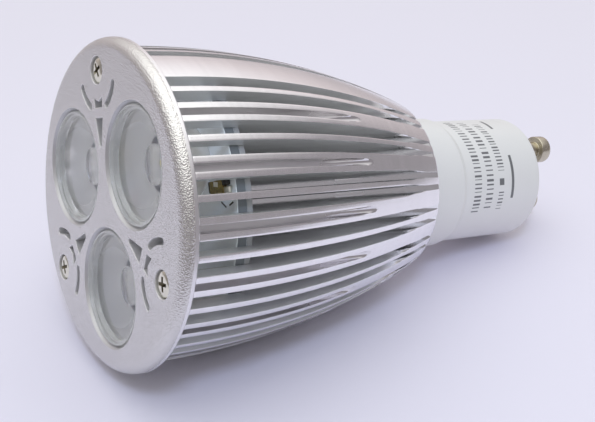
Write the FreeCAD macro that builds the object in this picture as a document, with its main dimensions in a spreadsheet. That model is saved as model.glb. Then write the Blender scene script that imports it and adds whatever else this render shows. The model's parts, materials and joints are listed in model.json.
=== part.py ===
"""Twist-lock LED spotlight bulb: vented bezel, finned heatsink, moulded base and the parts inside.

The bulb stands on its bezel. Z is its axis, with zero at the face of the bezel and the contact pins on
top. All lengths are in millimetres and all angles in degrees.
"""
import FreeCAD, Part
import math
import os
import re

import Sketcher
from FreeCAD import Placement, Rotation, Vector

UP = Vector(0, 0, 1)
# Share of the shorter of two runs that a bend in a wire takes up
BEND_SHARE = 0.45
# Distance below which an edge counts as lying in a plane
IN_PLANE = 1e-6
# Angles of the first lens and of the first bezel screw
FIRST_LENS = 90
FIRST_SCREW = 270

# Driving dimensions: alias, value and meaning
SIZES = (
    ("bezel_diameter", 50.0, "front bezel, the bulb's largest width"),
    ("aperture_flare", 0.4, "how much the aperture narrows behind the face"),
    ("aperture_depth", 0.9, "depth of the flared lip in front of a lens"),
    ("lens_lip", 0.7, "overlap of the lens flange behind the lip"),
    ("lens_web", 2.16, "metal or air left between two lens flanges"),
    ("seat_clearance", 0.1, "clearance round a flange or a board in its seat"),
    ("lens_count", 3, "lenses, screws and vent groups round the bezel"),
    ("bezel_thickness", 2.4, "front bezel, face to back"),
    ("bezel_overhang", 1.3, "bezel radius beyond the heatsink"),
    ("bezel_rounding", 1.7, "rounding of the bezel's front edge"),
    ("bezel_back_chamfer", 0.2, "chamfer of the bezel's back edge"),
    ("vent_width", 1.05, "width of the curved vents"),
    ("vent_radius", 5.9, "curved vents, radius round the screw"),
    ("vent_start", 29.0, "curved vents, first end from the inward line"),
    ("vent_end", 67.0, "curved vents, far end from the inward line"),
    ("triangle_tip", 11.0, "triangular vent, tip to screw centre"),
    ("triangle_base", 7.05, "triangular vent, base to screw centre"),
    ("triangle_width", 2.5, "triangular vent, width of its base"),
    ("triangle_tip_width", 0.7, "triangular vent, width of its blunt tip"),
    ("round_end", 0.52, "radius of a rounded end as a share of its width"),
    ("bar_front", 5.5, "notched vent, inner edge to screw centre"),
    ("bar_back", 4.1, "notched vent, outer corners to screw centre"),
    ("bar_notch", 4.65, "notched vent, bottom of its notch to screw centre"),
    ("bar_width", 2.4, "notched vent, inner edge"),
    ("bar_spread", 3.0, "notched vent, across its outer corners"),
    ("screw_radius", 1.0, "bezel and board screws, shank"),
    ("screw_fit", 0.05, "clearance round a screw shank"),
    ("screw_head_radius", 1.95, "bezel screw, head"),
    ("screw_head_height", 1.1, "bezel screw, head"),
    ("screw_head_clearance", 0.1, "clearance round a bezel screw's head"),
    ("screw_sink", 0.08, "bezel screw head below the face"),
    ("screw_length", 6.0, "bezel screw, shank below its head"),
    ("recess_width", 0.5, "cross recess, width of an arm"),
    ("recess_span", 2.3, "cross recess, length of an arm"),
    ("recess_depth", 0.6, "cross recess"),
    ("standoff_radius", 1.45, "pillar under a bezel screw"),
    ("standoff_shank", 0.85, "radius of the pillar's foot in the board"),
    ("standoff_bore_extra", 1.0, "pillar bore beyond the screw's end"),
    ("lens_flange", 1.6, "lens flange, thickness"),
    ("lens_rise", 0.6, "rim of a lens in front of its flange, inside the aperture"),
    ("lens_rim_width", 0.3, "flat front of a lens rim"),
    ("lens_ring", 0.9, "width of the rim and the slope inside it"),
    ("lens_dish", 1.2, "depth of a lens face behind its rim"),
    ("lens_foot", 1.4, "width of the foot of a lens round its recess"),
    ("lens_recess_radius", 3.0, "recess over an emitter"),
    ("lens_recess_depth", 3.6, "recess over an emitter"),
    ("lens_side_ratio", 0.85, "radius of a lens side as a share of its chord"),
    ("lens_chamber", 7.7, "bezel back to board front"),
    ("board_thickness", 1.6, "LED board"),
    ("pad_thickness", 0.8, "thermal pad behind the LED board"),
    ("board_screw_pitch", 7.0, "board screws, radius of their circle"),
    ("board_screw_head", 1.8, "board screw, head radius"),
    ("board_screw_rise", 1.2, "board screw, head height"),
    ("board_screw_bite", 5.0, "board screw, length in the heatsink"),
    ("led_width", 3.5, "emitter package"),
    ("led_height", 0.8, "emitter package"),
    ("led_dome", 1.35, "emitter dome, radius"),
    ("wire_hole", 2.2, "wire passage, radius"),
    ("wire_radius", 0.4, "insulated wire, radius"),
    ("fin_depth", 2.0, "heatsink wall left round the lens chamber"),
    ("heatsink_length", 50.0, "heatsink, front to rear"),
    ("heatsink_straight", 3.6, "straight stretch before the turned curve"),
    ("heatsink_floor", 7.5, "solid metal behind the thermal pad"),
    ("core_wall", 4.4, "wall of the heatsink core round its bore"),
    ("rear_fin_depth", 0.15, "fin height left at the rear end"),
    ("fin_groups", 18, "repeats of the fin pattern"),
    ("fin_turn", 66.6, "angle of the first wide rib's slot line"),
    ("gap_angle", 5.0, "deep gap between two fins"),
    ("gap_root_width", 1.2, "deep gap, width at its bottom"),
    ("fin_angle", 2.35, "single fin between two deep gaps"),
    ("slot_width", 1.2, "shallow slot in a double rib"),
    ("slot_depth", 3.4, "shallow slot, from the front diameter"),
    ("base_bore", 9.2, "base, inner radius"),
    ("base_wall", 1.6, "base, wall"),
    ("base_length", 30.9, "base, heatsink to its end face"),
    ("base_bevel", 3.3, "bevel round the end of the base"),
    ("base_end_wall", 2.0, "end wall that holds the pins"),
    ("base_turn", 52.0, "angle of the line through the pins"),
    ("collar_step", 0.6, "collar, radius beyond the base"),
    ("collar_length", 9.1, "collar, from the heatsink"),
    ("collar_slope", 0.8, "sloping shoulder of the collar"),
    ("spigot_wall", 1.2, "spigot of the base in the heatsink"),
    ("spigot_length", 6.0, "spigot of the base in the heatsink"),
    ("spigot_fit", 0.05, "clearance round the spigot"),
    ("pin_spacing", 10.0, "contact pins, centre to centre"),
    ("pin_neck", 1.5, "contact pin, neck radius"),
    ("pin_head", 2.5, "contact pin, head radius"),
    ("pin_head_height", 2.5, "contact pin, head height"),
    ("pin_head_rounding", 0.8, "contact pin, rounding of the head"),
    ("pin_length", 7.2, "contact pin, beyond the base"),
    ("pin_fit", 0.05, "clearance of a pin in the end wall"),
    ("pin_flange", 2.1, "contact pin, radius of the inner rivet"),
    ("pin_flange_height", 0.6, "contact pin, inner rivet"),
    ("pin_tail_radius", 0.6, "contact pin, solder tail"),
    ("pin_tail", 0.9, "contact pin, solder tail beyond the rivet"),
    ("sleeve_wall", 0.8, "insulating sleeve"),
    ("sleeve_fit", 0.05, "clearance round the sleeve"),
    ("driver_fit", 0.2, "driver board edge to base bore"),
    ("driver_thickness", 1.2, "driver board"),
    ("driver_gap", 3.0, "driver board below the pin tails"),
    ("driver_length", 48.0, "driver board"),
    ("part_spacing", 1.5, "between two parts on the driver board"),
    ("input_cap_radius", 3.9, "input capacitor"),
    ("input_cap_length", 11.0, "input capacitor"),
    ("output_cap_radius", 3.15, "output capacitor"),
    ("output_cap_length", 11.0, "output capacitor"),
    ("can_rounding", 0.5, "rounded ends of the capacitor cans"),
    ("core_width", 9.0, "transformer core"),
    ("core_height", 3.6, "transformer core"),
    ("core_length", 11.0, "transformer core"),
    ("core_limb", 1.8, "transformer core, outer limbs and yokes"),
    ("core_leg", 2.2, "transformer core, middle leg"),
    ("coil_clearance", 0.15, "winding to core"),
    ("inductor_radius", 3.0, "output inductor, flanges"),
    ("inductor_waist", 2.3, "output inductor, winding"),
    ("inductor_height", 5.0, "output inductor"),
    ("inductor_flange", 0.9, "output inductor, flange thickness"),
    ("bridge_width", 5.0, "bridge rectifier"),
    ("bridge_height", 2.5, "bridge rectifier"),
    ("bridge_length", 6.0, "bridge rectifier"),
    ("chip_width", 4.0, "controller chip"),
    ("chip_height", 1.6, "controller chip"),
    ("chip_length", 5.0, "controller chip"),
    ("package_chamfer", 0.3, "chamfer on moulded packages"),
    ("resistor_radius", 1.3, "fuse resistor"),
    ("resistor_length", 7.0, "fuse resistor"),
)

# Dimensions worked out from those above
DERIVED = {
    "bezel_radius": "(bezel_diameter / 2)",
    "front_radius": "(bezel_radius - bezel_overhang)",
    "chamber_radius": "(front_radius - fin_depth)",
    "lens_room": "(chamber_radius - 2 * seat_clearance)",
    "lens_spread": "sin(180 / lens_count)",
    "flange_radius": "((lens_room * lens_spread - lens_web / 2) / (1 + lens_spread))",
    "lens_pitch": "(lens_room - flange_radius)",
    "aperture_back": "(flange_radius - lens_lip)",
    "aperture_radius": "(aperture_back + aperture_flare)",
    "lens_front": "(aperture_depth - lens_rise)",
    "screw_pitch": "(chamber_radius - standoff_radius - seat_clearance / 2)",
    "screw_hole": "(screw_radius + screw_fit)",
    "head_hole": "(screw_head_radius + screw_head_clearance)",
    "head_seat": "(screw_sink + screw_head_height)",
    "screw_end": "(head_seat + screw_length)",
    "board_front": "(bezel_thickness + lens_chamber)",
    "board_back": "(board_front + board_thickness)",
    "board_radius": "(chamber_radius - seat_clearance)",
    "floor_front": "(board_back + pad_thickness)",
    "bore_floor": "(floor_front + heatsink_floor)",
    "board_screw_length": "(floor_front + board_screw_bite - board_front)",
    "spigot_radius": "(base_bore + spigot_wall)",
    "core_bore": "(spigot_radius + spigot_fit)",
    "core_radius": "(core_bore + core_wall)",
    "rear_radius": "(core_radius + rear_fin_depth)",
    "heatsink_end": "(bezel_thickness + heatsink_length)",
    "curve_start": "(bezel_thickness + heatsink_straight)",
    "curve_rise": "(heatsink_end - curve_start)",
    "curve_drop": "(front_radius - rear_radius)",
    "curve_radius": "((curve_rise ^ 2 + curve_drop ^ 2) / (2 * curve_drop))",
    "fin_pitch": "(360 / fin_groups)",
    "fin_offset": "((gap_angle + fin_angle) / 2)",
    "cut_radius": "(front_radius + fin_depth)",
    "cut_width": "(2 * cut_radius * tan(gap_angle / 2))",
    "slot_floor": "(front_radius - slot_depth)",
    "half_groups": "floor(fin_groups / 2)",
    "base_radius": "(base_bore + base_wall)",
    "collar_radius": "(base_radius + collar_step)",
    "spigot_start": "(heatsink_end - spigot_length)",
    "base_end": "(heatsink_end + base_length)",
    "base_inside": "(base_end - base_end_wall)",
    "rivet_face": "(base_inside - pin_flange_height)",
    "tail_end": "(rivet_face - pin_tail)",
    "pin_top": "(base_end + pin_length)",
    "driver_half": "(base_bore - driver_fit)",
    "driver_top": "(tail_end - driver_gap)",
    "driver_bottom": "(driver_top - driver_length)",
    "driver_face": "(driver_thickness / 2)",
    "sleeve_radius": "(core_bore - sleeve_fit)",
    "wire_line": "(driver_face + wire_radius)",
    "lead_solder": "(3 * wire_radius)",
    "lead_level": "(board_front - wire_radius - seat_clearance / 2)",
    "input_cap_top": "(driver_top - 2 * part_spacing)",
    "core_top": "(input_cap_top - input_cap_length - part_spacing)",
    "output_cap_top": "(core_top - core_length - part_spacing)",
    "resistor_line": "(driver_top - 2 * part_spacing)",
    "bridge_top": "(resistor_line - resistor_radius - part_spacing)",
    "chip_top": "(bridge_top - bridge_length - 2 * part_spacing)",
    "inductor_line": "(chip_top - chip_length - 2 * part_spacing - inductor_radius)",
    "window_length": "(core_length - 2 * core_limb)",
    "window_width": "((core_width - core_leg - 2 * core_limb) / 2)",
    "coil_wall": "(window_width - 2 * coil_clearance)",
    "coil_inner": "(core_leg + 2 * coil_clearance)",
    "coil_length": "(window_length - 2 * coil_clearance)",
    "coil_bore": "(core_height + 2 * coil_clearance)",
    "core_stand": "(driver_face + coil_wall + coil_clearance)",
}

doc = FreeCAD.newDocument("Spotlight")
sheet = doc.addObject("Spreadsheet::Sheet", "Sizes")
for row, (alias, size, meaning) in enumerate(SIZES, start=1):
    sheet.set(f"A{row}", meaning)
    sheet.set(f"B{row}", str(size))
    sheet.setAlias(f"B{row}", alias)
doc.recompute()
ALIASES = {alias for alias, size, meaning in SIZES}
pieces = []


def formula(text):
    """Spell out a formula in the sheet's own cells."""
    def spell(match):
        word = match.group(0)
        if word in DERIVED:
            return formula(DERIVED[word])
        return f"Sizes.{word}" if word in ALIASES else word
    return re.sub(r"[a-z_]+", spell, str(text))


def value(text):
    """Number that a formula gives with the present sizes."""
    return float(sheet.evalExpression(formula(text)))


def bind(thing, **sizes):
    """Bind properties of an object to formulas."""
    for name, text in sizes.items():
        thing.setExpression(name, formula(text))
    return thing


def place(thing, x="0", y="0", z="0", turn=None):
    """Bind an object's place, and its turn about Z."""
    if turn is not None:
        thing.Placement = Placement(Vector(), Rotation(UP, 1))
        thing.setExpression("Placement.Rotation.Angle", formula(turn))
    for axis, text in zip("xyz", (x, y, z)):
        thing.setExpression(f"Placement.Base.{axis}", formula(text))
    return thing


def piece(thing, label):
    """List an object as one of the bulb's pieces."""
    thing.Label = label
    pieces.append(thing)
    return thing


def body(name):
    return doc.addObject("PartDesign::Body", name)


def origin_feature(owner, role):
    return next(each for each in owner.Origin.OriginFeatures if each.Role == role)


def sketch_on(owner, plane, name, turn=None):
    """Sketch on one of a body's origin planes, turned in that plane if asked."""
    sketch = owner.newObject("Sketcher::SketchObject", name)
    sketch.AttachmentSupport = [(origin_feature(owner, plane), "")]
    sketch.MapMode = "FlatFace"
    if turn is not None:
        sketch.AttachmentOffset = Placement(Vector(), Rotation(UP, 1))
        sketch.setExpression("AttachmentOffset.Rotation.Angle", formula(turn))
    return sketch


def fix_point(sketch, geometry, end, x, y):
    """Hold a point of a sketch at a place given by two formulas."""
    for kind, text, axis in (("DistanceX", x, -2), ("DistanceY", y, -1)):
        if text == "0":
            sketch.addConstraint(Sketcher.Constraint("PointOnObject", geometry, end, axis))
            continue
        held = sketch.addConstraint(Sketcher.Constraint(kind, -1, 1, geometry, end, value(text)))
        sketch.setExpression(f"Constraints[{held}]", formula(text))


def arc_between(start, end, radius, left):
    """Arc from one point to the next, with its centre to the left or the right of that line."""
    across = end - start
    rise = math.sqrt(max(radius ** 2 - (across.Length / 2) ** 2, 0))
    normal = Vector(-across.y, across.x, 0).normalize() * (rise if left else -rise)
    centre = (start + end) / 2 + normal
    first, last = (start, end) if left else (end, start)
    angles = [math.atan2(point.y - centre.y, point.x - centre.x) for point in (first, last)]
    return Part.ArcOfCircle(Part.Circle(centre, UP, radius), *angles)


def outline(sketch, *corners):
    """Closed outline. A corner is (x, y), and (x, y, radius, side) where an arc leads to the next one."""
    points = [Vector(value(corner[0]), value(corner[1]), 0) for corner in corners]
    ends = []
    for number, corner in enumerate(corners):
        start, end = points[number], points[(number + 1) % len(corners)]
        if len(corner) == 2:
            side = sketch.addGeometry(Part.LineSegment(start, end), False)
            ends.append((side, 1, 2))
            continue
        left = corner[3] == "left"
        side = sketch.addGeometry(arc_between(start, end, value(corner[2]), left), False)
        ends.append((side, 1, 2) if left else (side, 2, 1))
    for (side, first, last), (following, start, finish) in zip(ends, ends[1:] + ends[:1]):
        sketch.addConstraint(Sketcher.Constraint("Coincident", side, last, following, start))
    for (side, first, last), corner in zip(ends, corners):
        fix_point(sketch, side, first, corner[0], corner[1])
        if len(corner) > 2:
            held = sketch.addConstraint(Sketcher.Constraint("Radius", side, value(corner[2])))
            sketch.setExpression(f"Constraints[{held}]", formula(corner[2]))
    return sketch


def round_outline(sketch, x, y, radius):
    """Circle in a sketch."""
    centre = Vector(value(x), value(y), 0)
    ring = sketch.addGeometry(Part.Circle(centre, UP, value(radius)), False)
    fix_point(sketch, ring, 3, x, y)
    held = sketch.addConstraint(Sketcher.Constraint("Radius", ring, value(radius)))
    sketch.setExpression(f"Constraints[{held}]", formula(radius))
    return sketch


def upright_axis(sketch, x):
    """Construction line at a distance from the sketch's upright axis, to turn a profile round."""
    foot, head = Vector(value(x), 0, 0), Vector(value(x), 1, 0)
    line = sketch.addGeometry(Part.LineSegment(foot, head), True)
    fix_point(sketch, line, 1, x, "0")
    sketch.addConstraint(Sketcher.Constraint("Vertical", line))
    length = sketch.addConstraint(Sketcher.Constraint("DistanceY", line, 1, line, 2, 1))
    sketch.setExpression(f"Constraints[{length}]", formula("bezel_thickness"))
    return sketch, ["Axis0"]


def revolve(owner, sketch, kind="Revolution", axis=None):
    """Turn a profile into a solid, or into a cut."""
    feature = owner.newObject(f"PartDesign::{kind}", kind)
    feature.Profile = sketch
    feature.ReferenceAxis = axis or (sketch, ["V_Axis"])
    feature.Angle = 360
    return feature


def cut_through(owner, sketch):
    """Cut a profile upwards through everything."""
    pocket = owner.newObject("PartDesign::Pocket", "Pocket")
    pocket.Profile = sketch
    pocket.Type = "ThroughAll"
    pocket.Reversed = True
    return pocket


def repeat(owner, feature, count, spread="360"):
    """Repeat a feature round Z, over a full turn or a part of one."""
    pattern = owner.newObject("PartDesign::PolarPattern", "PolarPattern")
    pattern.Originals = [feature]
    pattern.Axis = (origin_feature(owner, "Z_Axis"), [""])
    bind(pattern, Angle=spread, Occurrences=count)
    owner.Tip = pattern
    return pattern


def cylinder(name, radius, height, z="0", x="0", y="0", turn=None):
    return place(bind(doc.addObject("Part::Cylinder", name), Radius=radius, Height=height), x, y, z, turn)


def block(name, width, depth, height, x="0", y="0", z="0"):
    """Box centred on x, that starts at y and z."""
    box = bind(doc.addObject("Part::Box", name), Length=width, Width=depth, Height=height)
    return place(box, f"{x} - ({width}) / 2", y, z)


def cut(name, solid, *tools):
    """Take tools out of a solid, one after the other."""
    for tool in tools:
        result = doc.addObject("Part::Cut", name)
        result.Base, result.Tool = solid, tool
        solid = result
    return solid


def join(name, *solids):
    result = doc.addObject("Part::MultiFuse", name)
    result.Shapes = list(solids)
    return result


def group(name, *solids):
    result = doc.addObject("Part::Compound", name)
    result.Links = list(solids)
    return result


def trim_edges(solid, name, kind, size, wanted):
    """Round or chamfer those edges of a solid that a test picks."""
    doc.recompute()
    chosen = [number for number, edge in enumerate(solid.Shape.Edges, start=1) if wanted(edge)]
    result = doc.addObject(f"Part::{kind}", name)
    result.Base = solid
    result.Edges = [(number, value(size), value(size)) for number in chosen]
    return result


def lens_angle(number):
    return f"({FIRST_LENS} + {number} * 360 / lens_count)"


def screw_angle(number):
    return f"({FIRST_SCREW} + {number} * 360 / lens_count)"


def on_circle(pitch, angle):
    """Place on a circle round Z."""
    return {"x": f"{pitch} * cos({angle})", "y": f"{pitch} * sin({angle})"}


def repeats():
    return range(int(value("lens_count")))


def make_bezel():
    """Front bezel: turned disc, lens apertures, screw recesses and vents."""
    bezel = piece(body("Bezel"), "front_bezel")
    profile = outline(
        sketch_on(bezel, "XZ_Plane", "BezelProfile"),
        ("0", "0"),
        ("bezel_radius - bezel_rounding", "0", "bezel_rounding", "left"),
        ("bezel_radius", "bezel_rounding"),
        ("bezel_radius", "bezel_thickness - bezel_back_chamfer"),
        ("bezel_radius - bezel_back_chamfer", "bezel_thickness"),
        ("0", "bezel_thickness"),
    )
    revolve(bezel, profile)
    seat = "(flange_radius + seat_clearance)"
    aperture = outline(
        sketch_on(bezel, "YZ_Plane", "ApertureProfile"),
        ("lens_pitch", "0"),
        ("lens_pitch + aperture_radius", "0"),
        ("lens_pitch + aperture_back", "aperture_depth"),
        (f"lens_pitch + {seat}", "aperture_depth"),
        (f"lens_pitch + {seat}", "bezel_thickness"),
        ("lens_pitch", "bezel_thickness"),
    )
    opening = revolve(bezel, aperture, "Groove", upright_axis(aperture, "lens_pitch"))
    repeat(bezel, opening, "lens_count")
    recess = outline(
        sketch_on(bezel, "YZ_Plane", "ScrewRecessProfile"),
        ("-screw_pitch", "0"),
        ("head_hole - screw_pitch", "0"),
        ("head_hole - screw_pitch", "head_seat"),
        ("screw_hole - screw_pitch", "head_seat"),
        ("screw_hole - screw_pitch", "bezel_thickness"),
        ("-screw_pitch", "bezel_thickness"),
    )
    hole = revolve(bezel, recess, "Groove", upright_axis(recess, "-screw_pitch"))
    repeat(bezel, hole, "lens_count")
    repeat(bezel, cut_through(bezel, vent_sketch(bezel)), "lens_count")
    return bezel


def vent_sketch(bezel):
    """One group of vents, on the line from the centre of the bezel to a screw."""
    sketch = sketch_on(bezel, "XY_Plane", "Vents")
    outline(
        sketch,
        ("triangle_tip_width / 2", "triangle_tip - screw_pitch", "triangle_tip_width * round_end", "left"),
        ("-triangle_tip_width / 2", "triangle_tip - screw_pitch"),
        ("-triangle_width / 2", "triangle_base - screw_pitch"),
        ("triangle_width / 2", "triangle_base - screw_pitch"),
    )
    outline(
        sketch,
        ("-bar_width / 2", "bar_front - screw_pitch"),
        ("-bar_spread / 2", "bar_back - screw_pitch"),
        ("0", "bar_notch - screw_pitch"),
        ("bar_spread / 2", "bar_back - screw_pitch"),
        ("bar_width / 2", "bar_front - screw_pitch"),
    )
    outer, inner = "(vent_radius + vent_width / 2)", "(vent_radius - vent_width / 2)"
    for sign, way, back in (("", "left", "right"), ("-", "right", "left")):
        corners = []
        for radius, angle in ((outer, "vent_start"), (outer, "vent_end"),
                              (inner, "vent_end"), (inner, "vent_start")):
            corners.append((f"{sign}{radius} * sin({angle})", f"{radius} * cos({angle}) - screw_pitch"))
        outline(
            sketch,
            (*corners[0], outer, back),
            (*corners[1], "vent_width * round_end", back),
            (*corners[2], inner, way),
            (*corners[3], "vent_width * round_end", back),
        )
    return sketch


def make_screw(name, head, rise, length, seat, pitch, angle):
    """Pan-head screw with a cross recess, head down, its seat at a height on the bulb's axis."""
    spot = on_circle(pitch, angle)
    cap = cylinder(f"{name}Head", head, rise, f"{seat} - {rise}", **spot)
    shank = cylinder(f"{name}Shank", "screw_radius", length, seat, **spot)
    arms = []
    for width, depth in (("recess_span", "recess_width"), ("recess_width", "recess_span")):
        corner = {"x": spot["x"], "y": f"{spot['y']} - {depth} / 2"}
        arms.append(block(f"{name}Recess", width, depth, "recess_depth", z=f"{seat} - {rise}", **corner))
    return cut(f"{name}Screw", join(f"{name}Blank", cap, shank), *arms)


def make_standoff(number):
    """Threaded pillar on the LED board, with a foot pressed into the board."""
    spot = on_circle("screw_pitch", screw_angle(number))
    pillar = cylinder("Pillar", "standoff_radius", "lens_chamber", "bezel_thickness", **spot)
    foot = cylinder("Foot", "standoff_shank", "lens_chamber + board_thickness", "bezel_thickness", **spot)
    depth = "screw_end + standoff_bore_extra - bezel_thickness"
    bore = cylinder("PillarBore", "screw_hole", depth, "bezel_thickness", **spot)
    return cut("Standoff", join("StandoffBlank", pillar, foot), bore)


def make_lens(number):
    """Solid collimator: flange, raised rim round a sunk face, tapered side and a recess over the emitter."""
    lens = piece(body(f"Lens{number + 1}"), f"lens_{number + 1}")
    rim, foot = "(aperture_back - seat_clearance)", "(lens_recess_radius + lens_foot)"
    flange_back = "aperture_depth + lens_flange"
    side_rise = f"(board_front - {flange_back})"
    side_step = f"(flange_radius - seat_clearance - {foot})"
    side_radius = f"lens_side_ratio * sqrt({side_rise} ^ 2 + {side_step} ^ 2)"
    profile = outline(
        sketch_on(lens, "XZ_Plane", "LensProfile"),
        ("0", "lens_front + lens_dish"),
        (f"{rim} - lens_ring", "lens_front + lens_dish"),
        (f"{rim} - lens_rim_width", "lens_front"),
        (rim, "lens_front"),
        (rim, "aperture_depth"),
        ("flange_radius", "aperture_depth"),
        ("flange_radius", flange_back),
        ("flange_radius - seat_clearance", flange_back, side_radius, "left"),
        (foot, "board_front"),
        ("lens_recess_radius", "board_front"),
        ("lens_recess_radius", "board_front - lens_recess_depth"),
        ("0", "board_front - lens_recess_depth"),
    )
    revolve(lens, profile)
    return place(lens, **on_circle("lens_pitch", lens_angle(number)))


def make_led(number):
    """Emitter: square package on the board with a clear dome."""
    spot = on_circle("lens_pitch", lens_angle(number))
    corner = {"x": spot["x"], "y": f"{spot['y']} - led_width / 2", "z": "board_front - led_height"}
    package = block("Package", "led_width", "led_width", "led_height", **corner)
    dome = bind(doc.addObject("Part::Sphere", "Dome"), Radius="led_dome")
    dome.Angle2 = 0
    place(dome, z="board_front - led_height", **spot)
    return piece(join("Emitter", package, dome), f"led_{number + 1}")


def make_board():
    """Round LED board with its wire passage and the holes for pillars and screws."""
    board = piece(body("LedBoard"), "led_board")
    pad = board.newObject("PartDesign::Pad", "Pad")
    pad.Profile = round_outline(sketch_on(board, "XY_Plane", "BoardOutline"), "0", "0", "board_radius")
    bind(pad, Length="board_thickness")
    passage = round_outline(sketch_on(board, "XY_Plane", "BoardPassage"), "0", "0", "wire_hole")
    cut_through(board, passage)
    holes = sketch_on(board, "XY_Plane", "BoardHoles")
    round_outline(holes, "0", "-screw_pitch", "standoff_shank + screw_fit")
    round_outline(holes, "0", "-board_screw_pitch", "screw_hole")
    repeat(board, cut_through(board, holes), "lens_count")
    place(board, z="board_front")


def make_pad():
    """Thermal pad between the LED board and the heatsink, cut out for the wires and the screws."""
    pad = piece(body("ThermalPad"), "thermal_pad")
    sheet_pad = pad.newObject("PartDesign::Pad", "Pad")
    sheet_pad.Profile = round_outline(sketch_on(pad, "XY_Plane", "PadOutline"), "0", "0", "board_radius")
    bind(sheet_pad, Length="pad_thickness")
    cut_through(pad, round_outline(sketch_on(pad, "XY_Plane", "PadPassage"), "0", "0", "wire_hole"))
    holes = round_outline(sketch_on(pad, "XY_Plane", "PadHoles"), "0", "-board_screw_pitch", "screw_hole")
    repeat(pad, cut_through(pad, holes), "lens_count")
    place(pad, z="board_back")


def make_heatsink():
    """Heatsink: turned bullet with a lens chamber and a bore, cut by deep gaps and shallow slots."""
    sink = piece(body("Heatsink"), "heatsink")
    profile = outline(
        sketch_on(sink, "XZ_Plane", "HeatsinkProfile"),
        ("wire_hole", "floor_front"),
        ("chamber_radius", "floor_front"),
        ("chamber_radius", "bezel_thickness"),
        ("front_radius", "bezel_thickness"),
        ("front_radius", "curve_start", "curve_radius", "left"),
        ("rear_radius", "heatsink_end"),
        ("core_bore", "heatsink_end"),
        ("core_bore", "bore_floor"),
        ("wire_hole", "bore_floor"),
    )
    revolve(sink, profile)
    threads = sketch_on(sink, "XY_Plane", "BoardScrewHoles", "-fin_turn")
    round_outline(threads, "0", "-board_screw_pitch", "screw_hole")
    repeat(sink, blind_holes(sink, threads), "lens_count")
    cut_gaps(sink, "fin_pitch / 2 - fin_offset", "0", "fin_groups")
    for start, count in (("0", "half_groups"), ("half_groups", "fin_groups - half_groups")):
        cut_gaps(sink, "fin_pitch / 2 + fin_offset", start, f"{count} - 1")
        cut_slots(sink, f"{start} + 1", f"{count} - 1")
    return place(sink, turn="fin_turn")


def blind_holes(sink, sketch):
    """Threaded holes for the board screws, in the metal behind the board."""
    pocket = sink.newObject("PartDesign::Pocket", "ScrewHoles")
    pocket.Profile = sketch
    pocket.Reversed = True
    return bind(pocket, Length="floor_front + board_screw_bite + standoff_bore_extra")


def cut_gaps(sink, offset, first, count):
    """Deep gaps between fins, one to a group, from the group that is named first."""
    sketch = sketch_on(sink, "XY_Plane", "Gap", f"({first}) * fin_pitch + {offset}")
    outline(
        sketch,
        ("core_radius", "-gap_root_width / 2"),
        ("cut_radius", "-cut_width / 2"),
        ("cut_radius", "cut_width / 2"),
        ("core_radius", "gap_root_width / 2"),
    )
    repeat(sink, cut_through(sink, sketch), count, f"({count} - 1) * fin_pitch")


def cut_slots(sink, first, count):
    """Shallow round-bottomed slots down the middle of the double ribs."""
    sketch = sketch_on(sink, "XY_Plane", "Slot", f"({first}) * fin_pitch")
    outline(
        sketch,
        ("slot_floor + slot_width / 2", "-slot_width / 2"),
        ("cut_radius", "-slot_width / 2"),
        ("cut_radius", "slot_width / 2"),
        ("slot_floor + slot_width / 2", "slot_width / 2", "slot_width * round_end", "left"),
    )
    repeat(sink, cut_through(sink, sketch), count, f"({count} - 1) * fin_pitch")


def make_base():
    """Moulded base: spigot, collar, tube and a bevelled end with two pin holes."""
    base = piece(body("Base"), "base_housing")
    slope_end = "heatsink_end + collar_length + collar_slope"
    profile = outline(
        sketch_on(base, "XZ_Plane", "BaseProfile"),
        ("base_bore", "spigot_start"),
        ("spigot_radius", "spigot_start"),
        ("spigot_radius", "heatsink_end"),
        ("collar_radius", "heatsink_end"),
        ("collar_radius", "heatsink_end + collar_length"),
        ("base_radius", slope_end),
        ("base_radius", "base_end - base_bevel"),
        ("base_radius - base_bevel", "base_end"),
        ("0", "base_end"),
        ("0", "base_inside"),
        ("base_bore - base_wall", "base_inside"),
        ("base_bore", "base_inside - base_wall"),
    )
    revolve(base, profile)
    holes = sketch_on(base, "XY_Plane", "PinHoles")
    for side in ("", "-"):
        round_outline(holes, f"{side}pin_spacing / 2", "0", "pin_neck + pin_fit")
    cut_through(base, holes)
    return place(base, turn="base_turn")


def make_pin(number, side):
    """Contact pin: solder tail, inner rivet, neck and mushroom head, turned as one piece."""
    pin = piece(body(f"Pin{number}"), f"contact_pin_{number}")
    profile = outline(
        sketch_on(pin, "XZ_Plane", "PinProfile"),
        ("0", "tail_end"),
        ("pin_tail_radius", "tail_end"),
        ("pin_tail_radius", "rivet_face"),
        ("pin_flange", "rivet_face"),
        ("pin_flange", "base_inside"),
        ("pin_neck", "base_inside"),
        ("pin_neck", "pin_top - pin_head_height"),
        ("pin_head", "pin_top - pin_head_height"),
        ("pin_head", "pin_top - pin_head_rounding", "pin_head_rounding", "left"),
        ("pin_head - pin_head_rounding", "pin_top"),
        ("0", "pin_top"),
    )
    revolve(pin, profile)
    return place(pin, f"{side}pin_spacing / 2 * cos(base_turn)", f"{side}pin_spacing / 2 * sin(base_turn)")


def make_sleeve():
    """Insulating cup in the bore of the heatsink, open to the base, with a wire hole in its floor."""
    length = "spigot_start - bore_floor"
    cup = cylinder("SleeveBlank", "sleeve_radius", length, "bore_floor")
    inside = cylinder("SleeveInside", "sleeve_radius - sleeve_wall", length, "bore_floor + sleeve_wall")
    hole = cylinder("SleeveHole", "wire_hole", length, "bore_floor")
    return piece(cut("Sleeve", cup, inside, hole), "insulating_sleeve")


def turned_in_base(thing, label):
    """Turn a piece of the driver with the base."""
    holder = group(f"{thing.Name}Place", thing)
    return piece(place(holder, turn="base_turn"), label)


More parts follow.
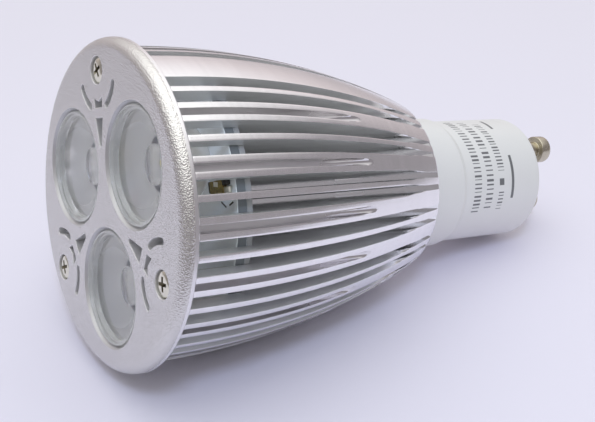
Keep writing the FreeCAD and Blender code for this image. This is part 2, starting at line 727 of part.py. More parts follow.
def lying(name, radius, length, x, y, z, axis):
    """Cylinder that lies along X or along Y."""
    rod = cylinder(name, radius, length)
    rod.Placement = Placement(Vector(), Rotation(UP, Vector(*axis)))
    return place(rod, x, y, z)


def is_ring(edge):
    return isinstance(edge.Curve, Part.Circle)


def make_can(name, label, radius, length, top):
    """Electrolytic capacitor that lies along the driver board."""
    can = cylinder(name, radius, length, f"{top} - {length}", y=f"driver_face + {radius}")
    return turned_in_base(trim_edges(can, f"{name}Can", "Fillet", "can_rounding", is_ring), label)


def make_package(name, label, width, height, length, top):
    """Moulded package on the back of the driver board, chamfered round its outer face."""
    box = block(name, width, height, length, y=f"-driver_face - {height}", z=f"{top} - {length}")
    outer = -value(f"driver_face + {height}")

    def on_outer_face(edge):
        return abs(edge.BoundBox.YMin - outer) < IN_PLANE and abs(edge.BoundBox.YMax - outer) < IN_PLANE

    trimmed = trim_edges(box, f"{name}Package", "Chamfer", "package_chamfer", on_outer_face)
    return turned_in_base(trimmed, label)


def make_transformer():
    """Transformer: ferrite core with two windows, and the winding round its middle leg."""
    bottom, low = "core_top - core_length", "core_top - core_limb - window_length"
    blank = block("CoreBlank", "core_width", "core_height", "core_length", y="core_stand", z=bottom)
    windows = []
    for side in ("", "-"):
        middle = f"{side}(core_leg + window_width) / 2"
        windows.append(block("CoreWindow", "window_width", "core_height", "window_length",
                             middle, "core_stand", low))
    turned_in_base(cut("Core", blank, *windows), "transformer_core")
    outside = block("CoilBlank", "coil_inner + 2 * coil_wall", "coil_bore + 2 * coil_wall", "coil_length",
                    y="driver_face", z=f"{low} + coil_clearance")
    inside = block("CoilInside", "coil_inner", "coil_bore", "coil_length",
                   y="driver_face + coil_wall", z=f"{low} + coil_clearance")
    turned_in_base(cut("Coil", outside, inside), "transformer_coil")


def make_driver():
    """Driver board and the parts soldered to it."""
    board = block("DriverBoard", "2 * driver_half", "driver_thickness", "driver_length",
                  y="-driver_face", z="driver_bottom")
    turned_in_base(board, "driver_board")
    for side in ("input", "output"):
        make_can(f"{side.title()}Capacitor", f"{side}_capacitor",
                 f"{side}_cap_radius", f"{side}_cap_length", f"{side}_cap_top")
    make_transformer()
    make_package("Bridge", "bridge_rectifier", "bridge_width", "bridge_height", "bridge_length", "bridge_top")
    make_package("Chip", "controller_chip", "chip_width", "chip_height", "chip_length", "chip_top")
    across, outwards = (1, 0, 0), (0, -1, 0)
    resistor = lying("Resistor", "resistor_radius", "resistor_length", "-resistor_length / 2",
                     "-driver_face - resistor_radius", "resistor_line", across)
    turned_in_base(trim_edges(resistor, "ResistorBody", "Fillet", "can_rounding", is_ring), "fuse_resistor")
    top = "-(driver_face + inductor_height - inductor_flange)"
    spool = []
    for name, radius, length, start in (("SpoolFoot", "inductor_radius", "inductor_flange", "-driver_face"),
                                        ("SpoolWaist", "inductor_waist", "inductor_height", "-driver_face"),
                                        ("SpoolTop", "inductor_radius", "inductor_flange", top)):
        spool.append(lying(name, radius, length, "0", start, "inductor_line", outwards))
    turned_in_base(join("Spool", *spool), "output_inductor")


def make_wire(label, *corners):
    """Wire along straight runs joined by tangent arcs, as large as the runs allow."""
    points = [Vector(*(value(text) for text in corner)) for corner in corners]
    edges, start = [], points[0]
    for before, corner, after in zip(points, points[1:], points[2:]):
        to_before, to_after = (before - corner).normalize(), (after - corner).normalize()
        reach = BEND_SHARE * min((before - corner).Length, (after - corner).Length)
        half_turn = (math.pi - to_before.getAngle(to_after)) / 2
        radius = reach / math.tan(half_turn)
        inward = (to_before + to_after).normalize()
        first, last = corner + to_before * reach, corner + to_after * reach
        middle = corner + inward * (math.hypot(radius, reach) - radius)
        edges.append(Part.LineSegment(start, first).toShape())
        edges.append(Part.Arc(first, middle, last).toShape())
        start = last
    edges.append(Part.LineSegment(start, points[-1]).toShape())
    path = Part.Wire(edges)
    section = Part.Wire(Part.Circle(points[0], points[1] - points[0], value("wire_radius")).toShape())
    wire = doc.addObject("Part::Feature", label.title().replace("_", ""))
    wire.Shape = path.makePipeShell([section], True, False)
    wire.Placement = Placement(Vector(), Rotation(UP, value("base_turn")))
    return piece(wire, label)


def make_wires():
    """Wires from the pins to the driver board, and from there to the LED board."""
    for number, side in ((1, ""), (2, "-")):
        x = f"{side}pin_spacing / 2"
        make_wire(
            f"pin_lead_{number}",
            (x, "0", "tail_end"),
            (x, "0", "tail_end - driver_gap / 4"),
            (x, "wire_line", "driver_top + driver_gap / 4"),
            (x, "wire_line", "driver_top - part_spacing"),
        )
        beside = f"{side}wire_hole / 2"
        make_wire(
            f"led_lead_{number}",
            (beside, "wire_line", "driver_bottom + lead_solder"),
            (beside, "wire_line", "lead_level"),
            (f"{side}(wire_hole + lead_solder)", "wire_line", "lead_level"),
        )


def check_and_export():
    """Stop on any failed object, then write one file for each piece."""
    doc.recompute()
    for thing in doc.Objects:
        if "Invalid" in thing.State or "Error" in thing.State:
            raise RuntimeError(f"{thing.Name} failed: {thing.State}")
    os.makedirs("parts", exist_ok=True)
    for thing in pieces:
        if thing.Shape.isNull() or not thing.Shape.isValid() or not thing.Shape.Solids:
            raise RuntimeError(f"{thing.Label} has no valid solid")
    for thing in pieces:
        thing.Shape.exportStep(os.path.join("parts", f"{thing.Label}.step"))
        print(thing.Label, len(thing.Shape.Solids), round(thing.Shape.Volume, 2))


make_bezel()
screws = [make_screw("Bezel", "screw_head_radius", "screw_head_height", "screw_length",
                     "head_seat", "screw_pitch", screw_angle(number)) for number in repeats()]
piece(group("BezelScrews", *screws), "bezel_screws")
piece(group("Standoffs", *(make_standoff(number) for number in repeats())), "board_standoffs")
clamps = [make_screw("Board", "board_screw_head", "board_screw_rise", "board_screw_length",
                     "board_front", "board_screw_pitch", screw_angle(number)) for number in repeats()]
piece(group("BoardScrews", *clamps), "board_screws")
for number in repeats():
    make_lens(number)
    make_led(number)
make_board()
make_pad()
make_heatsink()
make_sleeve()
make_base()
make_pin(1, "")
make_pin(2, "-")
make_driver()
make_wires()
check_and_export()
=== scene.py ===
"""Looks of a twist-lock LED spotlight bulb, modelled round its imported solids.

The bulb stands on its bezel. Z is its axis, from the bezel's face to the contact pins.
"""

import json
import math

import bmesh
import bpy
from bpy.props import FloatProperty, FloatVectorProperty, IntProperty, PointerProperty
from mathutils import Matrix, Vector

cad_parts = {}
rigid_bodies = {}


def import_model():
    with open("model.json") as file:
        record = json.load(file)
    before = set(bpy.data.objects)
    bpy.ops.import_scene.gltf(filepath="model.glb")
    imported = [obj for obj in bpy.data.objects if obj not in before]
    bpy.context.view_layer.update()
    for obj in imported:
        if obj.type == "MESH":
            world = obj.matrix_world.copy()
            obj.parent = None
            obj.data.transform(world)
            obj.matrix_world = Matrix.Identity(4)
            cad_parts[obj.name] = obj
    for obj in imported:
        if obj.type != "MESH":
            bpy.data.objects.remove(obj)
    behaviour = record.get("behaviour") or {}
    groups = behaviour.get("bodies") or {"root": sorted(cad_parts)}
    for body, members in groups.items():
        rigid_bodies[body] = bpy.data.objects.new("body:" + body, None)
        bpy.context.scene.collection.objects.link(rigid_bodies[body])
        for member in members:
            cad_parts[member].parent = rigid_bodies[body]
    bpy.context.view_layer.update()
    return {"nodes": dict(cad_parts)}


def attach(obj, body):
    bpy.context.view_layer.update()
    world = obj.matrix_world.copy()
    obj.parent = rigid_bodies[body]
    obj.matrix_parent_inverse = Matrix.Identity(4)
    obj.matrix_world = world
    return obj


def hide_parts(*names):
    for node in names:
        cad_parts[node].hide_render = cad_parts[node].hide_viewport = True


for leftover in list(bpy.data.objects):
    bpy.data.objects.remove(leftover)
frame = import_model()

bl_info = {
    "name": "Spotlight Bulb",
    "version": (1, 0, 0),
    "blender": (4, 5, 0),
    "location": "View3D > Sidebar > Bulb",
    "description": "Models and finishes a spotlight bulb round its solids",
    "category": "Object",
}

MM = 0.001
FULL_TURN = 2 * math.pi
QUARTER_TURN = math.pi / 2
ROUND_STEPS = 128
LENS_ANGLES = (90, 210, 330)
SCREW_ANGLES = (270, 30, 150)
SCREW_TURNS = (0.35, 0.1, 0.6)

# Vertices this close are one. The turned curve brings some of the fins' together less exactly.
MERGE, TURNED_MERGE = 1e-7, 2e-6
SMOOTH_BELOW = math.radians(30)

# Steps of the heatsink's mesh: along the axis, where its slots run out, and round a land
STEP, FINE_STEP, LAND_STEP = 1.0 * MM, 0.3 * MM, math.radians(0.7)
RUN_OUT_START, RUN_OUT_END = 31 * MM, 37 * MM

# Stretch of the tool marks: rings from turning, lines from drawing
TURNED_RINGS, DRAWN_LINES = (1.0, 1.0, 14.0), (8.0, 8.0, 0.15)

# Light of the room, by height over the table, and what replaces it on the viewer's side
ROOM_LIGHT = ((0.0, (0.50, 0.45, 0.47, 1)), (0.3, (0.76, 0.68, 0.69, 1)), (0.5, (1.0, 0.95, 0.97, 1)),
              (0.7, (1.25, 1.25, 1.25, 1)), (0.9, (1.8, 1.8, 1.8, 1)))
VIEWER_SIDE = (0.32, 0.30, 0.32, 1)
# Even light that dull surfaces get with a share of the room's, and what glass and the camera see
EVEN_LIGHT, DULL_SHARE = (0.59, 0.65, 0.54, 1), 0.6
BEHIND_GLASS, BACKDROP = (1.0, 0.98, 0.97, 1), (0.80, 0.79, 0.88, 1)
LAMP_COLOUR = (0.58, 0.71, 1.0)

FINISHES = {}


def length(name, description, millimetres):
    """Length property with its default in millimetres."""
    return FloatProperty(name=name, description=description, default=millimetres * MM,
                         min=0.0, precision=5, unit="LENGTH", subtype="DISTANCE")


def angle(name, description, degrees):
    """Angle property with its default in degrees."""
    return FloatProperty(name=name, description=description, default=math.radians(degrees),
                         unit="ROTATION", subtype="ANGLE")


def colour(name, description, red, green, blue):
    """Opaque colour property."""
    return FloatVectorProperty(name=name, description=description, size=4, min=0.0, max=1.0,
                               default=(red, green, blue, 1.0), subtype="COLOR")


def direction(name, description, x, y, z):
    """Property for a place or a direction, in metres."""
    return FloatVectorProperty(name=name, description=description, size=3, default=(x, y, z),
                               subtype="XYZ")


class BezelSizes(bpy.types.PropertyGroup):
    """Front bezel."""
    radius: length("Radius", "Outer radius of the bezel", 25.0)
    thickness: length("Thickness", "Face to back", 2.4)
    rounding: length("Rounding", "Rounding of the front edge", 1.7)
    back_edge: length("Back edge", "Chamfer of the back edge", 0.2)
    cut_edge: length("Cut edge", "Bevel round each opening", 0.09)
    aperture: length("Aperture", "Radius of a lens opening at the face", 9.1)
    aperture_back: length("Aperture back", "Radius of a lens opening behind its lip", 8.7)
    lip: length("Lip", "Depth of the lip in front of a lens", 0.9)
    seat: length("Seat", "Radius of the seat behind the lip", 9.5)
    lens_pitch: length("Lens pitch", "Axis to lens centre", 12.1)
    screw_pitch: length("Screw pitch", "Axis to screw centre", 20.2)
    recess: length("Recess", "Radius of a screw recess", 2.05)
    recess_depth: length("Recess depth", "Face to the seat of a screw", 1.18)
    shank_hole: length("Shank hole", "Radius of the hole for a screw's shank", 1.05)
    vent_radius: length("Vent radius", "Curved vents, radius round the screw", 5.9)
    vent_width: length("Vent width", "Width of the curved vents", 1.05)
    vent_start: angle("Vent start", "Near end of a curved vent", 29)
    vent_end: angle("Vent end", "Far end of a curved vent", 67)


class ScrewSizes(bpy.types.PropertyGroup):
    """Bezel screws."""
    head: length("Head", "Radius of the head", 1.95)
    top: length("Top", "Head below the face of the bezel", 0.08)
    seat: length("Seat", "Underside of the head", 1.18)
    shank: length("Shank", "Radius of the shank", 1.0)
    tip: length("Tip", "End of the shank", 7.18)
    point: length("Point", "Chamfer of the shank's end", 0.4)
    cross_span: length("Cross span", "Length of the cross recess", 2.1)
    cross_width: length("Cross width", "Width of an arm of the recess", 0.5)
    cross_depth: length("Cross depth", "Depth of the recess", 0.6)


class LensSizes(bpy.types.PropertyGroup):
    """Collimator lenses."""
    front: length("Front", "Face of the bezel to the rim of a lens", 0.3)
    dish: length("Dish", "Lens face behind its rim", 1.2)
    rim: length("Rim", "Radius of the rim", 8.6)
    rim_width: length("Rim width", "Flat front of the rim", 0.3)
    ring: length("Ring", "Width of the rim and the slope inside it", 0.9)
    ledge: length("Ledge", "Rim to the ledge part way down the slope", 0.45)
    ledge_width: length("Ledge width", "Width of the ledge", 0.28)
    ledge_lean: length("Ledge lean", "Lean of the wall above the ledge", 0.06)
    ledge_fall: length("Ledge fall", "Fall of the ledge towards the dish", 0.05)
    lip: length("Lip", "Face of the bezel to the flange", 0.9)
    flange: length("Flange", "Radius of the flange", 9.4)
    flange_height: length("Flange height", "Thickness of the flange", 1.6)
    cone_step: length("Cone step", "Step from the flange to the cone", 0.1)
    bulge: length("Bulge", "Bulge of the cone's side", 0.9)
    foot: length("Foot", "Radius of the foot on the board", 4.4)
    well: length("Well", "Radius of the well over the emitter", 3.0)
    well_depth: length("Well depth", "Depth of the well", 3.6)
    softness: length("Softness", "Rounding of the moulded edges", 0.12)


class BoardSizes(bpy.types.PropertyGroup):
    """LED board and emitters."""
    front: length("Front", "Height of the board's front", 10.1)
    back: length("Back", "Height of the board's back", 11.7)
    radius: length("Radius", "Radius of the board", 21.6)
    passage: length("Passage", "Radius of the wire passage", 2.2)
    edge: length("Edge", "Broken edge of the board", 0.08)
    package: length("Package", "Width of an emitter package", 3.5)
    package_height: length("Package height", "Height of an emitter package", 0.8)
    dome: length("Dome", "Radius of an emitter's dome", 1.35)
    die: length("Die", "Width of the phosphor", 1.5)
    die_height: length("Die height", "Height of the phosphor", 0.25)


class HeatsinkSizes(bpy.types.PropertyGroup):
    """Finned heatsink."""
    front: length("Front", "Height of the front end", 2.4)
    end: length("End", "Height of the rear end", 52.4)
    straight: length("Straight", "Height at which the turned curve starts", 6.0)
    front_radius: length("Front radius", "Radius over the fins at the front", 23.7)
    rear_radius: length("Rear radius", "Radius over the fins at the rear", 15.0)
    core: length("Core", "Radius of the core between the fins", 14.85)
    root_width: length("Root width", "Width of a deep gap at its bottom", 0.9)
    shoulder: length("Shoulder", "Radius at which a deep gap narrows", 17.2)
    slot_width: length("Slot width", "Width of a shallow slot", 1.2)
    slot_floor: length("Slot floor", "Radius of the bottom of a slot", 20.3)
    chamber: length("Chamber", "Radius of the lens chamber", 21.7)
    chamber_end: length("Chamber end", "Height of the chamber's floor", 12.5)
    web: length("Web", "Wall that closes a slot beside the chamber", 0.25)
    slope_end: length("Slope end", "Height at which a slot reaches its full depth", 29.0)
    bore: length("Bore", "Radius of the bore", 10.45)
    bore_floor: length("Bore floor", "Height of the bore's floor", 20.0)
    passage: length("Passage", "Radius of the wire passage", 2.2)
    gap_angle: angle("Gap angle", "Deep gap at the outside", 5.0)
    fin_angle: angle("Fin angle", "Single fin between two gaps", 2.35)
    turn: angle("Turn", "Line through the two wide ribs", 66.6)
    groups: IntProperty(name="Groups", description="Repeats of the fin pattern", default=18, min=2)
    edge: length("Edge", "Broken edge of a fin", 0.07)


class BaseSizes(bpy.types.PropertyGroup):
    """Moulded base and contact pins."""
    start: length("Start", "Height of the heatsink's rear end", 52.4)
    spigot: length("Spigot", "Height of the spigot's end", 46.4)
    spigot_radius: length("Spigot radius", "Radius of the spigot", 10.4)
    collar: length("Collar", "Radius of the collar", 11.4)
    collar_end: length("Collar end", "Height of the collar's shoulder", 61.5)
    shoulder: length("Shoulder", "Slope of the shoulder", 0.8)
    radius: length("Radius", "Radius of the base", 10.8)
    bore: length("Bore", "Inner radius", 9.2)
    end: length("End", "Height of the end face", 83.3)
    end_wall: length("End wall", "Thickness of the end", 2.0)
    bevel: length("Bevel", "Bevel round the end", 3.3)
    inner_bevel: length("Inner bevel", "Bevel round the end, inside", 1.6)
    softness: length("Softness", "Rounding of the moulded edges", 0.35)
    turn: angle("Turn", "Line through the pins", 52.0)
    pin_spacing: length("Pin spacing", "Between the pins' centres", 10.0)
    pin_neck: length("Pin neck", "Radius of a pin's neck", 1.5)
    pin_head: length("Pin head", "Radius of a pin's head", 2.5)
    pin_head_start: length("Pin head start", "Underside of a pin's head", 88.0)
    pin_top: length("Pin top", "Top of a pin", 90.5)
    pin_rounding: length("Pin rounding", "Rounding of a pin's head", 0.8)
    pin_flange: length("Pin flange", "Radius of a pin's flange inside the base", 2.1)
    pin_flange_height: length("Pin flange height", "Thickness of that flange", 0.6)
    pin_tail: length("Pin tail", "Radius of a pin's tail", 0.6)
    pin_tail_end: length("Pin tail end", "End of the tail below the end wall", 1.5)
    pin_softness: length("Pin softness", "Rounding of a pin's edges", 0.12)


class FinishColours(bpy.types.PropertyGroup):
    """Colours of the finishes."""
    satin: colour("Satin aluminium", "Blasted face of the bezel", 0.71, 0.70, 0.68)
    turned: colour("Turned aluminium", "Turned outside of the fins", 0.90, 0.89, 0.90)
    milled: colour("Milled aluminium", "Slots in the double ribs", 0.80, 0.79, 0.80)
    drawn: colour("Drawn aluminium", "Sides of the fins", 0.92, 0.93, 0.94)
    nickel: colour("Nickel", "Screws", 0.74, 0.72, 0.61)
    pin: colour("Pin", "Contact pins", 0.54, 0.50, 0.40)
    acrylic: colour("Acrylic", "Lenses", 0.96, 0.98, 0.98)
    phosphor: colour("Phosphor", "Emitter face", 0.80, 0.68, 0.16)
    ceramic: colour("Ceramic", "Emitter package", 0.82, 0.81, 0.74)
    mask: colour("Solder mask", "LED board", 0.92, 0.97, 1.0)
    base: colour("Base", "Moulded base", 0.77, 0.755, 0.76)
    marks: colour("Marks", "Plain marks on the base", 0.16, 0.16, 0.17)
    floor: colour("Floor", "Table", 0.799, 0.762, 0.872)


class StageSizes(bpy.types.PropertyGroup):
    """Camera, table and light."""
    place: direction("Place", "Place of the camera", -0.0670425, 0.1323499, -0.0646376)
    aim: direction("Aim", "Point in the middle of the picture", -0.0016578, -0.0037840, 0.0359568)
    up: direction("Up", "Upward side of the picture", 0.876063, 0.476304, 0.075153)
    lens: FloatProperty(name="Lens", description="Focal length", default=65.127, min=1.0,
                        subtype="DISTANCE_CAMERA")
    floor_up: direction("Floor up", "Upward side of the table", 0.5961, 0.7777, -0.1998)
    drop: length("Drop", "Bulb's origin above the table", 27.05)
    reach: length("Reach", "Half the width of the table", 260)
    setback: length("Setback", "Middle of the table behind the bulb", 185)
    lamp: direction("Lamp", "Lamp to the right of the bulb, towards the viewer and up", -0.05, 0.326, 0.42)
    lamp_width: length("Lamp width", "Side of the square lamp", 90)
    lamp_aim: length("Lamp aim", "Height on the bulb's axis that the lamp faces", 40)
    lamp_power: FloatProperty(name="Lamp power", description="Power of the lamp", default=0.67, min=0.0,
                              unit="POWER")


# Mesh tools

def turned(profile, steps=ROUND_STEPS):
    """Solid turned from a profile of (radius, height) that starts and ends on the axis, or closes."""
    bm = bmesh.new()
    verts = [bm.verts.new((radius, 0, height)) for radius, height in profile]
    edges = [bm.edges.new(pair) for pair in zip(verts, verts[1:])]
    if profile[0][0] > MERGE:
        edges.append(bm.edges.new((verts[-1], verts[0])))
    bmesh.ops.spin(bm, geom=verts + edges, cent=(0, 0, 0), axis=(0, 0, 1), dvec=(0, 0, 0),
                   angle=FULL_TURN, steps=steps, use_merge=True)
    return closed(bm)


def closed(bm, distance=MERGE):
    """Merge doubled vertices and turn all faces outwards."""
    bmesh.ops.remove_doubles(bm, verts=bm.verts, dist=distance)
    bmesh.ops.dissolve_degenerate(bm, edges=bm.edges, dist=distance)
    bmesh.ops.recalc_face_normals(bm, faces=bm.faces)
    return bm


def loft(*sections):
    """Solid through outlines of as many points each, given as (points, height)."""
    bm = bmesh.new()
    rings = []
    for points, height in sections:
        verts = [bm.verts.new((x, y, height)) for x, y in points]
        rings.append([bm.edges.new(pair) for pair in zip(verts, verts[1:] + verts[:1])])
    for ring, following in zip(rings, rings[1:]):
        bmesh.ops.bridge_loops(bm, edges=ring + following)
    for ring in (rings[0], rings[-1]):
        bmesh.ops.contextual_create(bm, geom=ring)
    return closed(bm)


def block(sides, edge, finish_number):
    """Rectangular block round the origin, with broken edges and one finish."""
    bm = bmesh.new()
    bmesh.ops.create_cube(bm, size=1.0)
    bmesh.ops.scale(bm, vec=sides, verts=bm.verts)
    return painted(soften(bm, edge), finish_number)


def painted(bm, finish_number):
    """Give all faces of a mesh one of its piece's finishes."""
    for face in bm.faces:
        face.material_index = finish_number
    return bm


def soften(bm, width, segments=2, sharper_than=30, wanted=None):
    """Bevel the sharp edges of a mesh, or those of them that a test picks."""
    limit = math.radians(sharper_than)
    edges = [edge for edge in bm.edges if edge.is_manifold and edge.calc_face_angle() > limit
             and (wanted is None or wanted(edge))]
    bmesh.ops.bevel(bm, geom=edges, offset=width, offset_type="OFFSET", segments=segments,
                    profile=0.5, affect="EDGES", clamp_overlap=True, material=-1)
    return bm


def gather(*parts):
    """Join meshes into the first."""
    first = parts[0]
    for part in parts[1:]:
        joined = bpy.data.meshes.new("joined")
        part.to_mesh(joined)
        part.free()
        first.from_mesh(joined)
        bpy.data.meshes.remove(joined)
    return first


def moved(bm, x=0.0, y=0.0, z=0.0, turn=0.0):
    """Turn a mesh about Z and then move it."""
    matrix = Matrix.Translation((x, y, z)) @ Matrix.Rotation(turn, 4, "Z")
    bmesh.ops.transform(bm, matrix=matrix, verts=bm.verts)
    return bm


def on_circle(pitch, degrees):
    """Place on a circle round the axis."""
    return pitch * math.cos(math.radians(degrees)), pitch * math.sin(math.radians(degrees))


def off_axis(point):
    """Distance of a point from the axis."""
    return math.hypot(point.x, point.y)


def repeated(bm, degrees):
    """Copies of a mesh made at zero degrees, turned to each of several angles round the axis."""
    copies = [moved(bm.copy(), turn=math.radians(each)) for each in degrees]
    bm.free()
    return gather(*copies)


def as_object(bm, name):
    """Object in the scene from a mesh."""
    mesh = bpy.data.meshes.new(name)
    bm.to_mesh(mesh)
    bm.free()
    made = bpy.data.objects.new(name, mesh)
    bpy.context.scene.collection.objects.link(made)
    return made


def carved(bm, *tools):
    """Cut tools out of a solid, one after the other."""
    for tool in tools:
        solid, cutter = as_object(bm, "solid"), as_object(tool, "cutter")
        cut = solid.modifiers.new("Cut", "BOOLEAN")
        cut.object, cut.operation, cut.solver = cutter, "DIFFERENCE", "MANIFOLD"
        graph = bpy.context.evaluated_depsgraph_get()
        result = bpy.data.meshes.new_from_object(solid.evaluated_get(graph))
        if not result.polygons:
            raise RuntimeError("a cut left nothing of the solid")
        bm = bmesh.new()
        bm.from_mesh(result)
        for used in (solid, cutter):
            spent = used.data
            bpy.data.objects.remove(used)
            bpy.data.meshes.remove(spent)
        bpy.data.meshes.remove(result)
    return bm


def finished(bm, name, slot, materials, *nodes):
    """Piece of the bulb from a mesh, with its shading and finishes; the solids it stands for are hidden.
    The slot is not used.
    """
    piece = as_object(bm, name)
    for material in materials:
        piece.data.materials.append(material)
    piece.data.shade_smooth()
    piece.data.set_sharp_from_angle(angle=SMOOTH_BELOW)
    weighted = piece.modifiers.new("Weighted normals", "WEIGHTED_NORMAL")
    weighted.keep_sharp = True
    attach(piece, "root")
    if nodes:
        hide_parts(*nodes)
    return piece


def arc(centre, radius, start, end, steps):
    """Points on an arc from one angle to another."""
    return [(centre[0] + radius * math.cos(start + (end - start) * step / steps),
             centre[1] + radius * math.sin(start + (end - start) * step / steps))
            for step in range(steps + 1)]


def outset(points, distance):
    """Closed outline moved outwards by a distance; it runs anticlockwise."""
    grown = []
    for before, point, after in zip(points[-1:] + points[:-1], points, points[1:] + points[:1]):
        here = Vector(point)
        first = (here - Vector(before)).normalized()
        second = (Vector(after) - here).normalized()
        normals = Vector((first.y, -first.x)), Vector((second.y, -second.x))
        corner = (normals[0] + normals[1]) / (1 + normals[0].dot(normals[1]))
        grown.append(tuple(here + corner * distance))
    return grown


# Material tools

NUMBER, COLOUR, VECTOR = "NodeSocketFloat", "NodeSocketColor", "NodeSocketVector"


def feed(target, inputs):
    """Give inputs of a node their links and values."""
    for key, given in inputs.items():
        if isinstance(given, bpy.types.NodeSocket):
            target.id_data.links.new(given, target.inputs[key])
        else:
            target.inputs[key].default_value = given


def node(tree, kind, inputs=None, **settings):
    """Shader node with its settings, values and links."""
    made = tree.nodes.new(kind)
    for name, setting in settings.items():
        setattr(made, name, setting)
    feed(made, inputs or {})
    return made


def maths(tree, operation, *values):
    """Result of a sum on numbers."""
    return node(tree, "ShaderNodeMath", dict(enumerate(values)), operation=operation).outputs[0]


def scaled(tree, value, factor, offset):
    """Number times a factor, with another added."""
    return maths(tree, "ADD", maths(tree, "MULTIPLY", value, factor), offset)


def blend(tree, factor, first, second, blend_type="MIX"):
    """Colour mixed from two."""
    mixed = node(tree, "ShaderNodeMix", {"Factor": factor, "A": first, "B": second},
                 data_type="RGBA", blend_type=blend_type)
    return mixed.outputs["Result"]


def place_on(tree):
    """Place of a point on its piece."""
    return node(tree, "ShaderNodeTexCoord").outputs["Object"]


def noise(tree, place, scale, detail, roughness=0.5):
    """Value of a noise at a place."""
    return node(tree, "ShaderNodeTexNoise", {"Vector": place, "Scale": scale, "Detail": detail,
                                             "Roughness": roughness}).outputs["Fac"]


def relief(tree, height, strength, depth, **under):
    """Normal of a surface with relief, over another one where that is given."""
    return node(tree, "ShaderNodeBump", {"Height": height, "Strength": strength, "Distance": depth,
                                         **under}).outputs["Normal"]


def ramp(tree, factor, *stops):
    """Colour ramp through (position, grey or colour) stops."""
    made = node(tree, "ShaderNodeValToRGB", {"Fac": factor})
    band = made.color_ramp
    while len(band.elements) < len(stops):
        band.elements.new(1.0)
    for element, (position, shade) in zip(band.elements, stops):
        element.position = position
        element.color = (shade, shade, shade, 1.0) if isinstance(shade, float) else shade
    return made.outputs["Color"]


def new_group(name, inputs, outputs):
    """Empty shader node group with named sockets."""
    tree = bpy.data.node_groups.new(name, "ShaderNodeTree")
    for label, kind, default in inputs:
        socket = tree.interface.new_socket(label, in_out="INPUT", socket_type=kind)
        if default is not None:
            socket.default_value = default
    for label, kind in outputs:
        tree.interface.new_socket(label, in_out="OUTPUT", socket_type=kind)
    return tree, tree.nodes.new("NodeGroupInput").outputs, tree.nodes.new("NodeGroupOutput")


def grain_group():
    """Fine grain and slow mottling that any finish can take."""
    tree, given, out = new_group(
        "Grain",
        [("Colour", COLOUR, None), ("Roughness", NUMBER, 0.4), ("Grain", NUMBER, 6000.0),
         ("Mottle", NUMBER, 90.0), ("Colour change", NUMBER, 0.06), ("Roughness change", NUMBER, 0.1)],
        [("Colour", COLOUR), ("Roughness", NUMBER), ("Height", NUMBER)])
    place = place_on(tree)
    fine = noise(tree, place, given["Grain"], 3.0, 0.6)
    slow = noise(tree, place, given["Mottle"], 4.0)
    both = maths(tree, "ADD", maths(tree, "MULTIPLY", fine, 0.5), maths(tree, "MULTIPLY", slow, 0.5))
    centred = maths(tree, "SUBTRACT", both, 0.5)
    tinted = node(tree, "ShaderNodeVectorMath",
                  {0: given["Colour"], "Scale": scaled(tree, centred, given["Colour change"], 1.0)},
                  operation="SCALE")
    feed(out, {"Colour": tinted.outputs["Vector"],
               "Roughness": scaled(tree, centred, given["Roughness change"], given["Roughness"]),
               "Height": fine})
    return tree


def tool_mark_group():
    """Rings left by a turning tool, spaced along the axis, or lines drawn along it."""
    tree, given, out = new_group(
        "Tool marks", [("Stretch", VECTOR, None), ("Scale", NUMBER, 1.0)],
        [("Height", NUMBER), ("Streak", NUMBER)])
    stretched = node(tree, "ShaderNodeVectorMath", {0: place_on(tree), 1: given["Stretch"]},
                     operation="MULTIPLY").outputs["Vector"]
    broad_scale = maths(tree, "MULTIPLY", given["Scale"], 0.12)
    feed(out, {"Height": noise(tree, stretched, given["Scale"], 3.0, 0.65),
               "Streak": noise(tree, stretched, broad_scale, 2.0)})
    return tree


def mark_group():
    """Row of plain upright strokes of uneven width round the base: one where the row is printed."""
    tree, given, out = new_group(
        "Row of marks",
        [("Height", NUMBER, 0.065), ("Half width", NUMBER, 0.001), ("Pitch", NUMBER, 12.0),
         ("Fill", NUMBER, 0.3), ("First", NUMBER, 0.7), ("Last", NUMBER, 2.4)],
        [("Mask", NUMBER)])
    axes = node(tree, "ShaderNodeSeparateXYZ", {0: place_on(tree)}).outputs
    round_angle = maths(tree, "ARCTAN2", axes["Y"], axes["X"])
    away = maths(tree, "ABSOLUTE", maths(tree, "SUBTRACT", axes["Z"], given["Height"]))
    band = maths(tree, "LESS_THAN", away, given["Half width"])
    along = maths(tree, "MULTIPLY", round_angle, given["Pitch"])
    number = maths(tree, "ADD", maths(tree, "FLOOR", along), given["Height"])
    uneven = node(tree, "ShaderNodeTexWhiteNoise", {"W": number}, noise_dimensions="1D").outputs["Value"]
    width = scaled(tree, uneven, 0.4, given["Fill"])
    stroke = maths(tree, "LESS_THAN", maths(tree, "FRACT", along), width)
    inside = maths(tree, "MULTIPLY", maths(tree, "GREATER_THAN", round_angle, given["First"]),
                   maths(tree, "LESS_THAN", round_angle, given["Last"]))
    feed(out, {"Mask": maths(tree, "MULTIPLY", maths(tree, "MULTIPLY", band, stroke), inside)})
    return tree


def group_node(tree, name, maker, inputs):
    """Outputs of a node group, which is made when first asked for."""
    group = bpy.data.node_groups.get(name) or maker()
    return node(tree, "ShaderNodeGroup", inputs, node_tree=group).outputs


def blank(name):
    """New material with its node tree and its Principled shader."""
    material = bpy.data.materials.new(name)
    material.use_nodes = True
    return material, material.node_tree, shader_of(material)


def shader_of(material):
    """Principled shader of a material."""
    return material.node_tree.nodes["Principled BSDF"]


def fed_by(shader, label):
    """Socket that feeds an input of a shader."""
    return shader.inputs[label].links[0].from_socket


